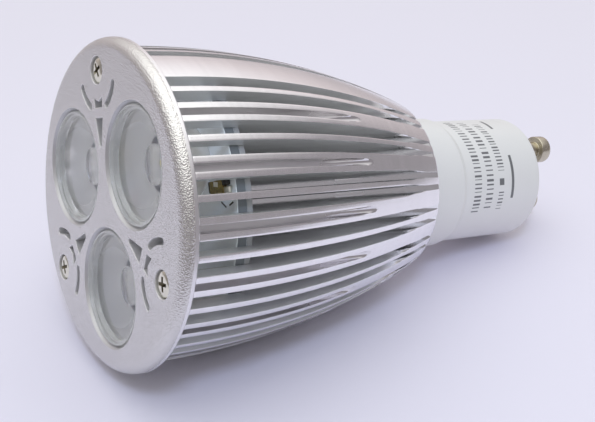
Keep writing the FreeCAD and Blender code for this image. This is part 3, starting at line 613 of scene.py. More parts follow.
def finish(name, tint, roughness, metallic=0.0, grain=6000.0, mottle=90.0, colour_change=0.08,
           roughness_change=0.12, bump=0.05, depth=0.02 * MM, sockets=None):
    """Material with grain in its colour, gloss and surface, made when first asked for."""
    if name in FINISHES:
        return FINISHES[name]
    material, tree, shader = blank(name)
    FINISHES[name] = material
    grains = group_node(tree, "Grain", grain_group, {
        "Colour": tint, "Roughness": roughness, "Grain": grain, "Mottle": mottle,
        "Colour change": colour_change, "Roughness change": roughness_change})
    feed(shader, {"Base Color": grains["Colour"], "Roughness": grains["Roughness"],
                  "Normal": relief(tree, grains["Height"], bump, depth),
                  "Metallic": metallic, **(sockets or {})})
    return material


def metal(name, tint, roughness, **settings):
    """Finish of bare or plated metal."""
    return finish(name, tint, roughness, metallic=1.0, **settings)


def tooled(name, tint, roughness, stretch=DRAWN_LINES, scale=500.0, bump=0.05, depth=0.03 * MM,
           streaks=0.12, gloss_change=0.08):
    """Bare metal with marks of a tool along one direction."""
    material, tree, shader = blank(name)
    marks = group_node(tree, "Tool marks", tool_mark_group, {"Stretch": stretch, "Scale": scale})
    streak = ramp(tree, marks["Streak"], (0.35, 1.0 - streaks), (0.65, 1.0))
    feed(shader, {"Base Color": blend(tree, 1.0, tint, streak, "MULTIPLY"),
                  "Roughness": scaled(tree, marks["Height"], gloss_change, roughness),
                  "Normal": relief(tree, marks["Height"], bump, depth), "Metallic": 1.0})
    return material


def smoother(material, start, end, left):
    """Let a finish grow smoother from one height to another, to a share of its roughness."""
    tree, shader = material.node_tree, shader_of(material)
    height = node(tree, "ShaderNodeSeparateXYZ", {0: place_on(tree)}).outputs["Z"]
    kept = node(tree, "ShaderNodeMapRange", {"Value": height, "From Min": start, "From Max": end,
                                             "To Min": 1.0, "To Max": left}).outputs["Result"]
    feed(shader, {"Roughness": maths(tree, "MULTIPLY", fed_by(shader, "Roughness"), kept)})
    return material


def screw_finish(colours):
    """Nickel on all the screws."""
    return metal("screw_nickel", colours.nickel, 0.14, grain=2500.0, mottle=500.0, colour_change=0.50,
                 roughness_change=0.2, bump=0.2, depth=0.03 * MM)


class BULB_OT_heatsink(bpy.types.Operator):
    """Model the finned heatsink: an extruded star of fins, turned outside and bored"""
    bl_idname = "bulb.heatsink"
    bl_label = "Heatsink"

    LANDS, SIDES, SLOTS, FLOORS = range(4)

    def execute(self, context):
        size = context.scene.bulb_heatsink
        star = self.extruded(size)
        self.turn_outside(star, size)
        self.close_slots(star, size)
        closed(star, TURNED_MERGE)
        self.pick_finish(star, size)
        soften(star, size.edge, sharper_than=40)
        before, past = size.front - size.bore, size.end + size.bore
        core = turned([(0, before), (size.chamber, before), (size.chamber, size.chamber_end),
                       (size.passage, size.chamber_end), (size.passage, size.bore_floor),
                       (size.bore, size.bore_floor), (size.bore, past), (0, past)])
        sink = moved(carved(star, core), turn=size.turn)
        finished(sink, "heatsink_fins", "turned_aluminium", self.finishes(context.scene.bulb_colours),
                 "heatsink")
        return {"FINISHED"}

    def finishes(self, colours):
        """Finishes of the lands, sides, slots and floors. The cut ones are smoother towards the rear."""
        lands = tooled("turned_aluminium", colours.turned, 0.17, TURNED_RINGS, 620.0, depth=0.02 * MM,
                       streaks=0.04)
        sides = tooled("drawn_aluminium", colours.drawn, 0.46, bump=0.08, gloss_change=0.16)
        slots = tooled("milled_aluminium", colours.milled, 0.40, streaks=0.10)
        floors = tooled("gap_floor", colours.drawn, 0.12)
        smoother(sides, start=32 * MM, end=47 * MM, left=0.35)
        smoother(slots, start=20 * MM, end=31 * MM, left=0.25)
        return [lands, sides, slots, floors]

    def radius_at(self, size, height):
        """Radius over the fins at a height: straight at first, then a long arc."""
        rise = size.end - size.straight
        drop = size.front_radius - size.rear_radius
        bend = (rise ** 2 + drop ** 2) / (2 * drop)
        along = max(height - size.straight, 0.0)
        return size.front_radius - bend + math.sqrt(bend ** 2 - along ** 2)

    def features(self, size):
        """Gaps and slots in order round the axis: (kind, angle of the middle line)."""
        pitch = FULL_TURN / size.groups
        offset = (size.gap_angle + size.fin_angle) / 2
        half = size.groups // 2
        for number in range(size.groups):
            if number % half:
                yield "slot", number * pitch
            yield "gap", (number + 0.5) * pitch - offset
            if number % half != half - 1:
                yield "gap", (number + 0.5) * pitch + offset

    def off_slot(self, size, point):
        """Angle of a point from the middle line of the nearest slot."""
        pitch = FULL_TURN / size.groups
        return abs((math.atan2(point.y, point.x) + pitch / 2) % pitch - pitch / 2)

    def cut_points(self, size, kind):
        """Outline of a gap or a slot on its middle line, from one land to the next."""
        outer = size.front_radius
        if kind == "slot":
            half_width = size.slot_width / 2
            floor = arc((size.slot_floor + half_width, 0), half_width, 3 * QUARTER_TURN, QUARTER_TURN, 9)
            return [(outer, -half_width)] + floor + [(outer, half_width)]
        half_width, root = outer * math.sin(size.gap_angle / 2), size.root_width / 2
        wide = half_width * 0.74  # a deep gap narrows inwards
        # Millimetres over the shoulder, and half the width of the gap there
        narrowing = ((0.9, wide), (0.5, wide * 0.93), (0.2, wide * 0.8), (0.0, root * 1.2), (-0.4, root))
        side = [(outer, half_width)]
        side += [(size.shoulder + over * MM, across) for over, across in narrowing]
        side.append((size.core, root))
        return [(reach, -across) for reach, across in side] + side[::-1]

    def extruded(self, size):
        """Star of fins, extruded in steps along the axis from a single outline."""
        corners = [[Matrix.Rotation(line, 2) @ Vector(point) for point in self.cut_points(size, kind)]
                   for kind, line in self.features(size)]
        outline = []
        for cut, following in zip(corners, corners[1:] + corners[:1]):
            start = math.atan2(cut[-1].y, cut[-1].x)
            spread = (math.atan2(following[0].y, following[0].x) - start) % FULL_TURN
            steps = max(1, round(spread / LAND_STEP))
            outline += cut + arc((0, 0), size.front_radius, start, start + spread, steps)[1:-1]
        bm = bmesh.new()
        verts = [bm.verts.new((x, y, size.front)) for x, y in outline]
        ring = [bm.edges.new(pair) for pair in zip(verts, verts[1:] + verts[:1])]
        bmesh.ops.contextual_create(bm, geom=ring)
        height = size.front
        while height < size.end - MERGE:
            step = FINE_STEP if RUN_OUT_START < height < RUN_OUT_END else STEP
            step = min(step, size.end - height)
            made = bmesh.ops.extrude_edge_only(bm, edges=ring)["geom"]
            raised = [each for each in made if isinstance(each, bmesh.types.BMVert)]
            bmesh.ops.translate(bm, verts=raised, vec=(0, 0, step))
            above = set(raised)
            ring = [each for each in made if isinstance(each, bmesh.types.BMEdge)
                    and all(vert in above for vert in each.verts)]
            height += step
        bmesh.ops.contextual_create(bm, geom=ring)
        return bm

    def turn_outside(self, bm, size):
        """Bring whatever stands proud down to the turned curve."""
        for vert in bm.verts:
            reach = off_axis(vert.co)
            limit = self.radius_at(size, vert.co.z)
            if reach > limit:
                vert.co.x *= limit / reach
                vert.co.y *= limit / reach

    def close_slots(self, bm, size):
        """Raise the bottom of each slot towards the front, so that a web closes it beside the chamber."""
        start, end = size.chamber_end + size.web, size.slope_end
        rise = size.chamber + size.web - size.slot_floor
        for vert in bm.verts:
            reach = off_axis(vert.co)
            part = min(max((end - vert.co.z) / (end - start), 0.0), 1.0)
            floor = size.slot_floor + rise * part * part * (3 - 2 * part)
            in_slot = self.off_slot(size, vert.co) * reach < size.slot_width
            if in_slot and size.slot_floor - MERGE < reach < floor:
                vert.co.x *= floor / reach
                vert.co.y *= floor / reach

    def pick_finish(self, bm, size):
        """Turned finish on the lands and the ends, milled in the slots and drawn in the gaps."""
        touching, strip_corners = 0.02 * MM, 6
        for face in bm.faces:
            middle = face.calc_center_median()
            proud = all(off_axis(vert.co) > self.radius_at(size, vert.co.z) - touching
                        for vert in face.verts)
            if proud or len(face.verts) > strip_corners:
                face.material_index = self.LANDS
            elif self.off_slot(size, middle) < size.gap_angle / 2 and off_axis(middle) > size.core + MM:
                face.material_index = self.SLOTS
            elif off_axis(middle) < size.core + 0.2 * MM:
                face.material_index = self.FLOORS
            else:
                face.material_index = self.SIDES


class BULB_OT_bezel(bpy.types.Operator):
    """Model the front bezel with its lens openings, screw recesses and vents"""
    bl_idname = "bulb.bezel"
    bl_label = "Bezel"

    SATIN, CUT, SHADED, EDGE = range(4)

    def execute(self, context):
        size = context.scene.bulb_bezel
        edge, back = size.cut_edge, size.thickness
        past = back + MM
        rim = arc((size.radius - size.rounding, size.rounding), size.rounding, -QUARTER_TURN, 0.0, 10)
        disc = turned([(0, 0)] + rim + [(size.radius, back - size.back_edge),
                                        (size.radius - size.back_edge, back), (0, back)], steps=256)
        opening = turned(self.mouth(size.aperture, edge) +
                         [(size.aperture_back, size.lip), (size.seat, size.lip), (size.seat, past),
                          (0, past)])
        openings = repeated(moved(opening, x=size.lens_pitch), LENS_ANGLES)
        recess = turned(self.mouth(size.recess, edge) +
                        [(size.recess, size.recess_depth), (size.shank_hole, size.recess_depth),
                         (size.shank_hole, past), (0, past)], steps=64)
        recesses = repeated(moved(recess, x=size.screw_pitch), SCREW_ANGLES)
        vents = [loft((outset(points, 2 * edge), -edge), (points, edge), (points, past))
                 for points in self.vent_outlines(size)]
        vents = repeated(gather(*vents), SCREW_ANGLES)
        plate = carved(disc, openings, recesses, vents)
        self.pick_finish(plate, size)
        satin = self.satin_finish(context.scene.bulb_colours.satin)
        cut = metal("cut_aluminium", (0.76, 0.76, 0.77, 1.0), 0.65, grain=3000.0, mottle=900.0,
                    colour_change=0.5)
        # Walls round the lenses: a darker cut finish, as painted shade
        shaded = metal("aperture_wall_shade", (0.60, 0.60, 0.61, 1.0), 0.55, grain=3000.0, mottle=900.0,
                       colour_change=0.2)
        edge_finish = metal("bezel_edge", (0.84, 0.83, 0.84, 1.0), 0.32, grain=3000.0, mottle=200.0,
                            colour_change=0.06)
        finished(plate, "bezel_plate", "satin_aluminium", [satin, cut, shaded, edge_finish], "front_bezel")
        return {"FINISHED"}

    def mouth(self, radius, edge):
        """Start of the profile of a round opening, bevelled at the face."""
        return [(0, -edge), (radius + 2 * edge, -edge), (radius, edge)]

    def pick_finish(self, bm, size):
        """Cut finish on the walls of the vents, and round the lenses a darker one that is painted shade.
        """
        lenses = [Vector(on_circle(size.lens_pitch, degrees)) for degrees in LENS_ANGLES]
        inner = size.radius - size.rounding
        for face in bm.faces:
            middle = face.calc_center_median()
            flat = abs(face.normal.z) > 0.8
            if middle.z > size.rounding and middle.xy.length > size.radius - 2 * size.back_edge:
                face.material_index = self.EDGE
            elif not flat and middle.xy.length <= inner:
                nearest = min((middle.xy - lens).length for lens in lenses)
                face.material_index = self.SHADED if nearest < size.seat + 2 * size.cut_edge else self.CUT

    def vent_outlines(self, size):
        """Vents of one group, with the screw on the X axis and the bulb's axis at the origin."""
        screw = size.screw_pitch
        tip, base, half_tip, half_base = 11.0 * MM, 7.05 * MM, 0.35 * MM, 1.25 * MM
        yield [(screw - base, -half_base), (screw - base, half_base), (screw - tip, half_tip),
               (screw - tip - half_tip * 0.7, 0), (screw - tip, -half_tip)]
        front, rear, notch, half_front, half_rear = 5.5 * MM, 4.1 * MM, 4.65 * MM, 1.2 * MM, 1.5 * MM
        yield [(screw - front, -half_front), (screw - rear, -half_rear), (screw - notch, 0),
               (screw - rear, half_rear), (screw - front, half_front)]
        half_width = size.vent_width / 2
        for side in (1, -1):
            first, last = math.pi - side * size.vent_start, math.pi - side * size.vent_end
            points = arc((screw, 0), size.vent_radius + half_width, first, last, 10)
            points += self.round_end(size, last, last, side)
            points += arc((screw, 0), size.vent_radius - half_width, last, first, 10)
            points += self.round_end(size, first, first + math.pi, side)
            yield points if side < 0 else points[::-1]

    def round_end(self, size, at, start, side):
        """Half circle that ends a curved vent."""
        middle = (size.screw_pitch + size.vent_radius * math.cos(at), size.vent_radius * math.sin(at))
        return arc(middle, size.vent_width / 2, start, start - side * math.pi, 8)[1:-1]

    def satin_finish(self, tint):
        """Blasted aluminium: fine dimples that glint on the rounded edge."""
        material = metal("satin_aluminium", tint, 0.21, grain=4300.0, mottle=60.0, colour_change=0.06,
                         roughness_change=0.10, bump=1.0, depth=0.08 * MM)
        tree, shader = material.node_tree, shader_of(material)
        dimples = node(tree, "ShaderNodeTexVoronoi", {"Vector": place_on(tree), "Scale": 4000.0})
        feed(shader, {"Normal": relief(tree, dimples.outputs["Distance"], 0.7, 0.09 * MM,
                                       Normal=fed_by(shader, "Normal"))})
        return material


class BULB_OT_screws(bpy.types.Operator):
    """Model the three cross-recess screws of the bezel"""
    bl_idname = "bulb.screws"
    bl_label = "Bezel screws"

    # Finishes: plated nickel, and a dark one in the cross recess that is painted shade
    PLATED, WORN = range(2)

    def execute(self, context):
        size, colours = context.scene.bulb_screws, context.scene.bulb_colours
        # Share of the head's radius, and millimetres under its top
        crown = ((0.0, 0.0), (0.55, 0.03), (0.82, 0.12), (0.95, 0.28), (1.0, 0.5))
        profile = [(size.head * part, size.top + down * MM) for part, down in crown]
        profile += [(size.head, size.seat), (size.shank, size.seat), (size.shank, size.tip - size.point),
                    (size.shank - size.point, size.tip), (0, size.tip)]
        screw = turned(profile, steps=64)
        mouth = 0.1 * MM
        screw = carved(screw, loft((self.cross(size, 1.15), size.top - mouth),
                                   (self.cross(size, 0.55), size.top + size.cross_depth)))
        # Faces down in the cross recess take the dark finish, painted shade
        for face in screw.faces:
            middle = face.calc_center_median()
            sunk = size.top + mouth < middle.z < size.seat - MERGE
            in_cross = sunk and off_axis(middle) < size.cross_span * 0.58
            face.material_index = self.WORN if in_cross else self.PLATED
        pitch = context.scene.bulb_bezel.screw_pitch
        screws = [moved(screw.copy(), *on_circle(pitch, degrees), turn=turn)
                  for degrees, turn in zip(SCREW_ANGLES, SCREW_TURNS)]
        screw.free()
        # Dark colour in the cross recess is painted shade
        recess_shade = metal("screw_recess_shade", (0.24, 0.22, 0.16, 1.0), 0.35, grain=2500.0, mottle=400.0,
                     colour_change=0.4)
        finished(gather(*screws), "bezel_screw_set", "screw_nickel", [screw_finish(colours), recess_shade],
                 "bezel_screws")
        return {"FINISHED"}

    def cross(self, size, scale):
        """Outline of a cross recess, anticlockwise."""
        arm, half = size.cross_span / 2 * scale, size.cross_width / 2 * scale
        quarter = [(arm, -half), (arm, half), (half, half)]
        points = []
        for number in range(4):
            matrix = Matrix.Rotation(number * FULL_TURN / 4, 2)
            points += [tuple(matrix @ Vector(point)) for point in quarter]
        return points


class BULB_OT_lenses(bpy.types.Operator):
    """Model the three clear collimator lenses"""
    bl_idname = "bulb.lenses"
    bl_label = "Lenses"

    CLEAR, CLOUDY, FROSTED = range(3)
    CONE_STEPS = 12

    def execute(self, context):
        size = context.scene.bulb_lens
        profile = self.profile(size, context.scene.bulb_board.front)
        finishes = [self.acrylic("clear_acrylic", context.scene.bulb_colours.acrylic, 0.12, 1.0),
                    self.acrylic("moulded_acrylic", (0.94, 0.93, 0.91, 1.0), 0.30, 0.45),
                    self.acrylic("frosted_acrylic", (0.96, 0.96, 0.95, 1.0), 0.09, 0.73)]
        for number, degrees in enumerate(LENS_ANGLES, start=1):
            body = soften(turned(profile), size.softness)
            self.pick_finish(body, size)
            moved(body, *on_circle(context.scene.bulb_bezel.lens_pitch, degrees))
            finished(body, f"collimator_{number}", "clear_lens", finishes, f"lens_{number}")
        return {"FINISHED"}

    def profile(self, size, board):
        """Half section: dish, ring with its ledge, flange, bulging cone, foot and well."""
        dish, ledge = size.front + size.dish, size.front + size.ledge
        crest, back = size.rim - size.rim_width, size.lip + size.flange_height
        wall, top = crest - size.ledge_lean, size.flange - size.cone_step
        cone = []
        for step in range(1, self.CONE_STEPS):
            part = step / self.CONE_STEPS
            cone.append((top + (size.foot - top) * part + size.bulge * math.sin(math.pi * part),
                         back + (board - back) * part))
        face = [(0, dish), (size.rim - size.ring, dish),
                (wall - size.ledge_width, ledge + size.ledge_fall), (wall, ledge), (crest, size.front),
                (size.rim, size.front), (size.rim, size.lip), (size.flange, size.lip),
                (size.flange, back), (top, back)]
        well_top = board - size.well_depth
        return face + cone + [(size.foot, board), (size.well, board), (size.well, well_top), (0, well_top)]

    def pick_finish(self, bm, size):
        """Frosted ring, cloudy cone and well wall, and a clear dish."""
        flange_end = size.lip + size.flange_height + 0.2 * MM
        for face in bm.faces:
            middle = face.calc_center_median()
            behind, reach = middle.z > flange_end, middle.xy.length
            face.material_index = self.CLEAR
            if behind and reach > size.well - size.softness:
                face.material_index = self.CLOUDY
            elif not behind and reach > size.rim - size.ring:
                face.material_index = self.FROSTED

    def acrylic(self, name, tint, roughness, clearness):
        """Moulded acrylic with faint flow lines in its surface."""
        return finish(name, tint, roughness, grain=900.0, mottle=120.0, colour_change=0.02,
                      roughness_change=0.03, bump=0.015,
                      sockets={"Transmission Weight": clearness, "IOR": 1.49, "Coat Weight": 0.6,
                               "Coat Roughness": 0.03})


class BULB_OT_emitters(bpy.types.Operator):
    """Model the emitters under the lenses: package, phosphor and dome"""
    bl_idname = "bulb.emitters"
    bl_label = "Emitters"

    CERAMIC, PHOSPHOR, DOME = range(3)

    def execute(self, context):
        size, colours = context.scene.bulb_board, context.scene.bulb_colours
        finishes = [finish("emitter_ceramic", colours.ceramic, 0.5, grain=4000.0),
                    finish("emitter_phosphor", colours.phosphor, 0.45, grain=9000.0, colour_change=0.2),
                    finish("emitter_dome", (0.97, 0.97, 0.92, 1.0), 0.05, bump=0.01,
                           sockets={"Transmission Weight": 1.0, "IOR": 1.41})]
        top = size.front - size.package_height
        package_edge, die_edge, film = 0.15 * MM, 0.04 * MM, 0.01 * MM
        for number, degrees in enumerate(LENS_ANGLES, start=1):
            package = block((size.package, size.package, size.package_height), package_edge, self.CERAMIC)
            moved(package, z=top + size.package_height / 2)
            die = block((size.die, size.die, size.die_height), die_edge, self.PHOSPHOR)
            moved(die, z=top - size.die_height / 2)
            dome = moved(self.half_ball(size.dome), z=top - film)
            emitter = gather(package, die, painted(dome, self.DOME))
            moved(emitter, *on_circle(context.scene.bulb_bezel.lens_pitch, degrees))
            finished(emitter, f"emitter_{number}", "emitter", finishes, f"led_{number}")
        return {"FINISHED"}

    def half_ball(self, radius):
        """Half of a ball, on the side of the bezel."""
        bm = bmesh.new()
        bmesh.ops.create_uvsphere(bm, u_segments=48, v_segments=24, radius=radius)
        bmesh.ops.bisect_plane(bm, geom=bm.verts[:] + bm.edges[:] + bm.faces[:], dist=MERGE,
                               plane_co=(0, 0, 0), plane_no=(0, 0, 1), clear_outer=True)
        bmesh.ops.holes_fill(bm, edges=bm.edges, sides=0)
        return bm


class BULB_OT_board(bpy.types.Operator):
    """Model the LED board with its solder pads and small parts"""
    bl_idname = "bulb.board"
    bl_label = "LED board"

    MASK, BARE = range(2)
    AMBER, SOLDER, DARK = range(3)

    def execute(self, context):
        size, colours = context.scene.bulb_board, context.scene.bulb_colours
        board = turned([(size.passage, size.front), (size.radius, size.front), (size.radius, size.back),
                        (size.passage, size.back)], steps=192)
        soften(board, size.edge, segments=1)
        for face in board.faces:
            on_edge = size.front + size.edge < face.calc_center_median().z < size.back - size.edge
            face.material_index = self.BARE if on_edge else self.MASK
        mask = finish("board_mask", colours.mask, 0.38, grain=2500.0, mottle=160.0, colour_change=0.10)
        bare = finish("board_edge", (0.16, 0.18, 0.20, 1.0), 0.45, grain=3000.0, mottle=400.0,
                      colour_change=0.3)
        finished(board, "emitter_board", "board_mask", [mask, bare], "led_board")
        self.small_parts(size.front)
        return {"FINISHED"}

    def small_parts(self, board):
        """Small soldered parts beside the first lens, and two plain printed bars."""
        finishes = [finish("capacitor_amber", (0.26, 0.20, 0.06, 1.0), 0.35, grain=3000.0, mottle=1500.0,
                           colour_change=3.0),
                    metal("solder", (0.80, 0.79, 0.70, 1.0), 0.30, grain=2000.0, mottle=900.0,
                          colour_change=0.5, bump=0.3),
                    finish("dark_epoxy", (0.035, 0.035, 0.03, 1.0), 0.4, grain=3000.0, mottle=900.0)]
        # Finish, place from the axis and round it, length, width, height, space below, skew
        placed = ((self.AMBER, 17.5, 112.0, 3.4, 2.0, 0.9, 0.0, 0.0),
                  (self.DARK, 15.4, 111.0, 0.7, 1.7, 0.7, 0.0, 0.0),
                  (self.SOLDER, 17.7, 110.6, 1.1, 0.7, 0.12, 0.85, 0.2),
                  (self.DARK, 19.7, 110.4, 1.2, 1.0, 0.8, 0.0, 0.0),
                  (self.SOLDER, 19.7, 114.0, 1.8, 1.1, 0.6, 0.0, 0.0),
                  (self.DARK, 17.9, 119.9, 1.5, 0.24, 0.04, 0.0, 0.5),
                  (self.DARK, 20.0, 119.4, 1.2, 0.24, 0.04, 0.0, -0.4))
        parts = []
        for kind, reach, degrees, long, wide, tall, low, skew in placed:
            part = block((long * MM, wide * MM, tall * MM), min(0.18, tall / 4) * MM, kind)
            moved(part, z=board - (low + tall / 2) * MM, turn=skew)
            parts.append(moved(moved(part, x=reach * MM), turn=math.radians(degrees)))
        finished(gather(*parts), "board_capacitors", "board_mask", finishes)


class BULB_OT_base(bpy.types.Operator):
    """Model the white moulded base"""
    bl_idname = "bulb.base"
    bl_label = "Base"

    def execute(self, context):
        size = context.scene.bulb_base
        inside = size.end - size.end_wall
        base = turned([(size.bore, size.spigot), (size.spigot_radius, size.spigot),
                       (size.spigot_radius, size.start), (size.collar, size.start),
                       (size.collar, size.collar_end), (size.radius, size.collar_end + size.shoulder),
                       (size.radius, size.end - size.bevel), (size.radius - size.bevel, size.end),
                       (0, size.end), (0, inside), (size.bore - size.inner_bevel, inside),
                       (size.bore, inside - size.inner_bevel)], steps=192)
        margin = 0.1 * MM
        outer, start = size.spigot_radius + 2 * margin, size.start + margin

        def shows(edge):
            """Whether an edge lies on the outside, past the heatsink."""
            return edge.verts[0].co.z > start and all(off_axis(vert.co) > outer or vert.co.z > inside + MM
                                                      for vert in edge.verts)

        soften(base, size.softness, segments=4, sharper_than=20, wanted=shows)
        white = self.white_finish(context.scene.bulb_colours)
        finished(base, "moulded_base", "base_white", [white], "base_housing")
        return {"FINISHED"}

    def white_finish(self, colours):
        """White satin plastic with rows of plain printed marks."""
        material = finish("base_white", colours.base, 0.36, grain=3200.0, mottle=70.0, colour_change=0.03,
                          bump=0.04)
        tree, shader = material.node_tree, shader_of(material)
        # Height and half width in millimetres, strokes to a radian, least fill, first and last angle
        rows = ((65.1, 0.80, 15.0, 0.15, 0.75, 2.65), (67.9, 0.80, 13.0, 0.15, 0.85, 2.60),
                (70.7, 0.75, 17.0, 0.15, 0.95, 1.95), (70.7, 0.55, 1.0, 1.0, 2.08, 2.19),
                (70.7, 0.60, 17.0, 0.15, 2.30, 2.60), (73.4, 0.30, 1.0, 1.0, 1.70, 2.42),
                (73.4, 0.30, 1.0, 1.0, 0.80, 1.12))
        printed = 0.0
        for height, half_width, pitch, fill, first, last in rows:
            mask = group_node(tree, "Row of marks", mark_group, {
                "Height": height * MM, "Half width": half_width * MM, "Pitch": pitch, "Fill": fill,
                "First": first, "Last": last})["Mask"]
            printed = maths(tree, "MAXIMUM", printed, mask)
        feed(shader, {"Base Color": blend(tree, printed, fed_by(shader, "Base Color"), colours.marks)})
        return material


class BULB_OT_pins(bpy.types.Operator):
    """Model the two mushroom-headed contact pins"""
    bl_idname = "bulb.pins"
    bl_label = "Contact pins"

    def execute(self, context):
        size = context.scene.bulb_base
        inside = size.end - size.end_wall
        tail_end, flange = inside - size.pin_tail_end, inside - size.pin_flange_height
        rounding = arc((size.pin_head - size.pin_rounding, size.pin_top - size.pin_rounding),
                       size.pin_rounding, 0.0, QUARTER_TURN, 8)
        profile = [(0, tail_end), (size.pin_tail, tail_end), (size.pin_tail, flange),
                   (size.pin_flange, flange), (size.pin_flange, inside), (size.pin_neck, inside),
                   (size.pin_neck, size.pin_head_start), (size.pin_head, size.pin_head_start)]
        profile += rounding + [(0, size.pin_top)]
        nickel = metal("pin_nickel", context.scene.bulb_colours.pin, 0.24, grain=1800.0, mottle=400.0,
                       colour_change=0.35, roughness_change=0.25, bump=0.08)
        for number, way in ((1, 1), (2, -1)):
            pin = soften(turned(profile, steps=96), size.pin_softness, segments=3, sharper_than=40)
            reach = way * size.pin_spacing / 2
            moved(pin, reach * math.cos(size.turn), reach * math.sin(size.turn))
            finished(pin, f"pin_{number}", "pin_nickel", [nickel], f"contact_pin_{number}")
        return {"FINISHED"}


class BULB_OT_inside(bpy.types.Operator):
    """Give the pieces inside the bulb their finishes"""
    bl_idname = "bulb.inside"
    bl_label = "Inside"

    def execute(self, context):
        ferrite = finish("ferrite", (0.06, 0.06, 0.065, 1), 0.55, grain=4000.0)
        can = finish("can_sleeve", (0.04, 0.05, 0.09, 1), 0.3)
        epoxy = finish("black_epoxy", (0.03, 0.03, 0.03, 1), 0.55, bump=0.2)
        red = finish("wire_red", (0.45, 0.03, 0.025, 1), 0.4)
        black = finish("wire_black", (0.03, 0.03, 0.03, 1), 0.4)
        finishes = {
            "thermal_pad": finish("pad_silicone", (0.34, 0.35, 0.37, 1), 0.6, grain=1500.0, bump=0.2),
            "board_standoffs": metal("pillar_brass", (0.52, 0.50, 0.45, 1), 0.30, mottle=300.0),
            "board_screws": screw_finish(context.scene.bulb_colours),
            "insulating_sleeve": finish("sleeve_film", (0.80, 0.79, 0.74, 1), 0.45, grain=2000.0),
            "driver_board": finish("driver_laminate", (0.07, 0.24, 0.10, 1), 0.4, colour_change=0.3),
            "transformer_core": ferrite,
            "output_inductor": ferrite,
            "transformer_coil": finish("winding_tape", (0.70, 0.50, 0.08, 1), 0.35, mottle=500.0),
            "input_capacitor": can,
            "output_capacitor": can,
            "bridge_rectifier": epoxy,
            "controller_chip": epoxy,
            "fuse_resistor": finish("resistor_coat", (0.20, 0.38, 0.28, 1), 0.35, colour_change=0.2),
            "pin_lead_1": red,
            "led_lead_1": red,
            "pin_lead_2": black,
            "led_lead_2": black,
        }
        for name, material in finishes.items():
            frame["nodes"][name].material_slots[0].material = material
        return {"FINISHED"}


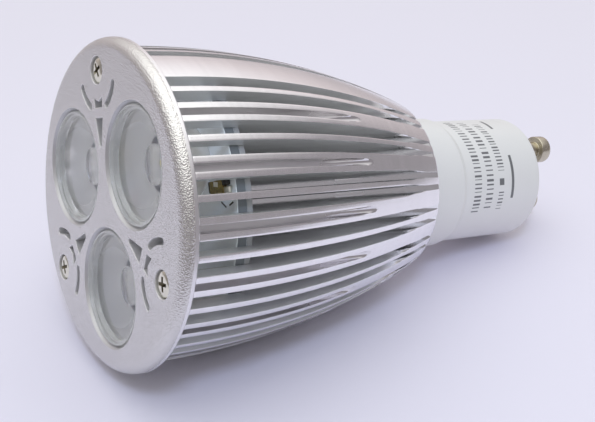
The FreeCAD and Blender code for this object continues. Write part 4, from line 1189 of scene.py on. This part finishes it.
class BULB_OT_stage(bpy.types.Operator):
    """Set the table, the soft light and the camera"""
    bl_idname = "bulb.stage"
    bl_label = "Stage"

    def execute(self, context):
        scene, stage = context.scene, context.scene.bulb_stage
        up = Vector(stage.floor_up).normalized()
        towards = (Vector(stage.place) - up * Vector(stage.place).dot(up)).normalized()
        self.set_camera(scene, stage)
        self.set_floor(stage, scene.bulb_colours.floor, up, towards)
        self.set_world(scene, up, towards)
        self.set_lamp(scene, stage, up, towards)
        scene.view_settings.view_transform = "Standard"
        return {"FINISHED"}

    def set_camera(self, scene, stage):
        """Camera at the picture's viewing angle."""
        data = bpy.data.cameras.new("Camera")
        data.lens, data.sensor_width = stage.lens, 36.0
        data.clip_start, data.clip_end = 0.005, 10.0
        camera = bpy.data.objects.new("Camera", data)
        forward = (Vector(stage.aim) - Vector(stage.place)).normalized()
        side = forward.cross(Vector(stage.up)).normalized()
        turned_axes = Matrix((side, side.cross(forward), -forward)).transposed()
        camera.matrix_world = Matrix.Translation(stage.place) @ turned_axes.to_4x4()
        scene.collection.objects.link(camera)
        scene.camera = camera

    def set_floor(self, stage, tint, up, towards):
        """Pale table under the bulb, seen from above only."""
        bm = bmesh.new()
        bmesh.ops.create_grid(bm, x_segments=4, y_segments=4, size=stage.reach)
        right = up.cross(towards)
        bmesh.ops.rotate(bm, verts=bm.verts, matrix=Matrix((right, up.cross(right), up)).transposed())
        bmesh.ops.translate(bm, verts=bm.verts, vec=up * -stage.drop - towards * stage.setback)
        floor = as_object(bm, "table")
        material = finish("table_top", tint, 0.75, grain=900.0, mottle=8.0, colour_change=0.02, bump=0.0,
                          sockets={"Specular IOR Level": 0.1})
        tree = material.node_tree
        sides = node(tree, "ShaderNodeMixShader", {
            0: node(tree, "ShaderNodeNewGeometry").outputs["Backfacing"],
            1: shader_of(material).outputs["BSDF"],
            2: node(tree, "ShaderNodeBsdfTransparent").outputs["BSDF"]})
        feed(tree.nodes["Material Output"], {"Surface": sides.outputs["Shader"]})
        floor.data.materials.append(material)

    def set_lamp(self, scene, stage, up, towards):
        """Square lamp high on the viewer's side. Mirrors don't show it."""
        data = bpy.data.lights.new("Key", "AREA")
        data.shape, data.size, data.energy = "SQUARE", stage.lamp_width, stage.lamp_power
        data.color = LAMP_COLOUR
        lamp = bpy.data.objects.new("Key", data)
        lamp.visible_glossy = False
        middle = Vector((0, 0, stage.lamp_aim))
        side, near, high = stage.lamp
        lamp.location = middle + up.cross(towards) * side + towards * near + up * high
        lamp.rotation_euler = (middle - lamp.location).to_track_quat("-Z", "Y").to_euler()
        scene.collection.objects.link(lamp)

    def set_world(self, scene, up, towards):
        """Soft light. What metal and glass reflect is white above and greyer towards the viewer."""
        world = bpy.data.worlds.new("Studio")
        scene.world = world
        world.use_nodes = True
        tree = world.node_tree
        ray = node(tree, "ShaderNodeLightPath").outputs
        way = node(tree, "ShaderNodeTexCoord").outputs["Generated"]
        height, near = (node(tree, "ShaderNodeVectorMath", {0: way, 1: axis},
                             operation="DOT_PRODUCT").outputs["Value"] for axis in (up, towards))
        ahead = ramp(tree, maths(tree, "ADD", near, 1.0), (0.3, 0.0), (0.65, 1.0))
        low = ramp(tree, height, (0.42, 1.0), (0.85, 0.0))
        dim = maths(tree, "MULTIPLY", ahead, low)
        room = blend(tree, dim, ramp(tree, height, *ROOM_LIGHT), VIEWER_SIDE)
        room_share = maths(tree, "MAXIMUM", ray["Is Glossy Ray"], DULL_SHARE)
        light = blend(tree, room_share, EVEN_LIGHT, room)
        light = blend(tree, ray["Is Transmission Ray"], light, BEHIND_GLASS)
        light = blend(tree, ray["Is Camera Ray"], light, BACKDROP)
        feed(tree.nodes["Background"], {"Color": light})


PIECES = (BULB_OT_heatsink, BULB_OT_bezel, BULB_OT_screws, BULB_OT_lenses, BULB_OT_emitters,
          BULB_OT_board, BULB_OT_base, BULB_OT_pins, BULB_OT_inside, BULB_OT_stage)


class BULB_PT_panel(bpy.types.Panel):
    """Pieces of the bulb in the sidebar"""
    bl_label = "Spotlight Bulb"
    bl_idname = "BULB_PT_panel"
    bl_space_type = "VIEW_3D"
    bl_region_type = "UI"
    bl_category = "Bulb"

    def draw(self, context):
        for piece in PIECES:
            self.layout.operator(piece.bl_idname)


GROUPS = {
    "bulb_bezel": BezelSizes,
    "bulb_screws": ScrewSizes,
    "bulb_lens": LensSizes,
    "bulb_board": BoardSizes,
    "bulb_heatsink": HeatsinkSizes,
    "bulb_base": BaseSizes,
    "bulb_colours": FinishColours,
    "bulb_stage": StageSizes,
}


def register():
    """Register the classes and give scenes their sizes and colours."""
    for kind in (*GROUPS.values(), *PIECES, BULB_PT_panel):
        bpy.utils.register_class(kind)
    for name, kind in GROUPS.items():
        setattr(bpy.types.Scene, name, PointerProperty(type=kind))


def unregister():
    """Take back what register added."""
    for name in GROUPS:
        delattr(bpy.types.Scene, name)
    for kind in reversed((*GROUPS.values(), *PIECES, BULB_PT_panel)):
        bpy.utils.unregister_class(kind)


def main():
    """Model all pieces and set the stage."""
    register()
    for piece in PIECES:
        family, name = piece.bl_idname.split(".")
        getattr(getattr(bpy.ops, family), name)()


if __name__ == "__main__":
    main()
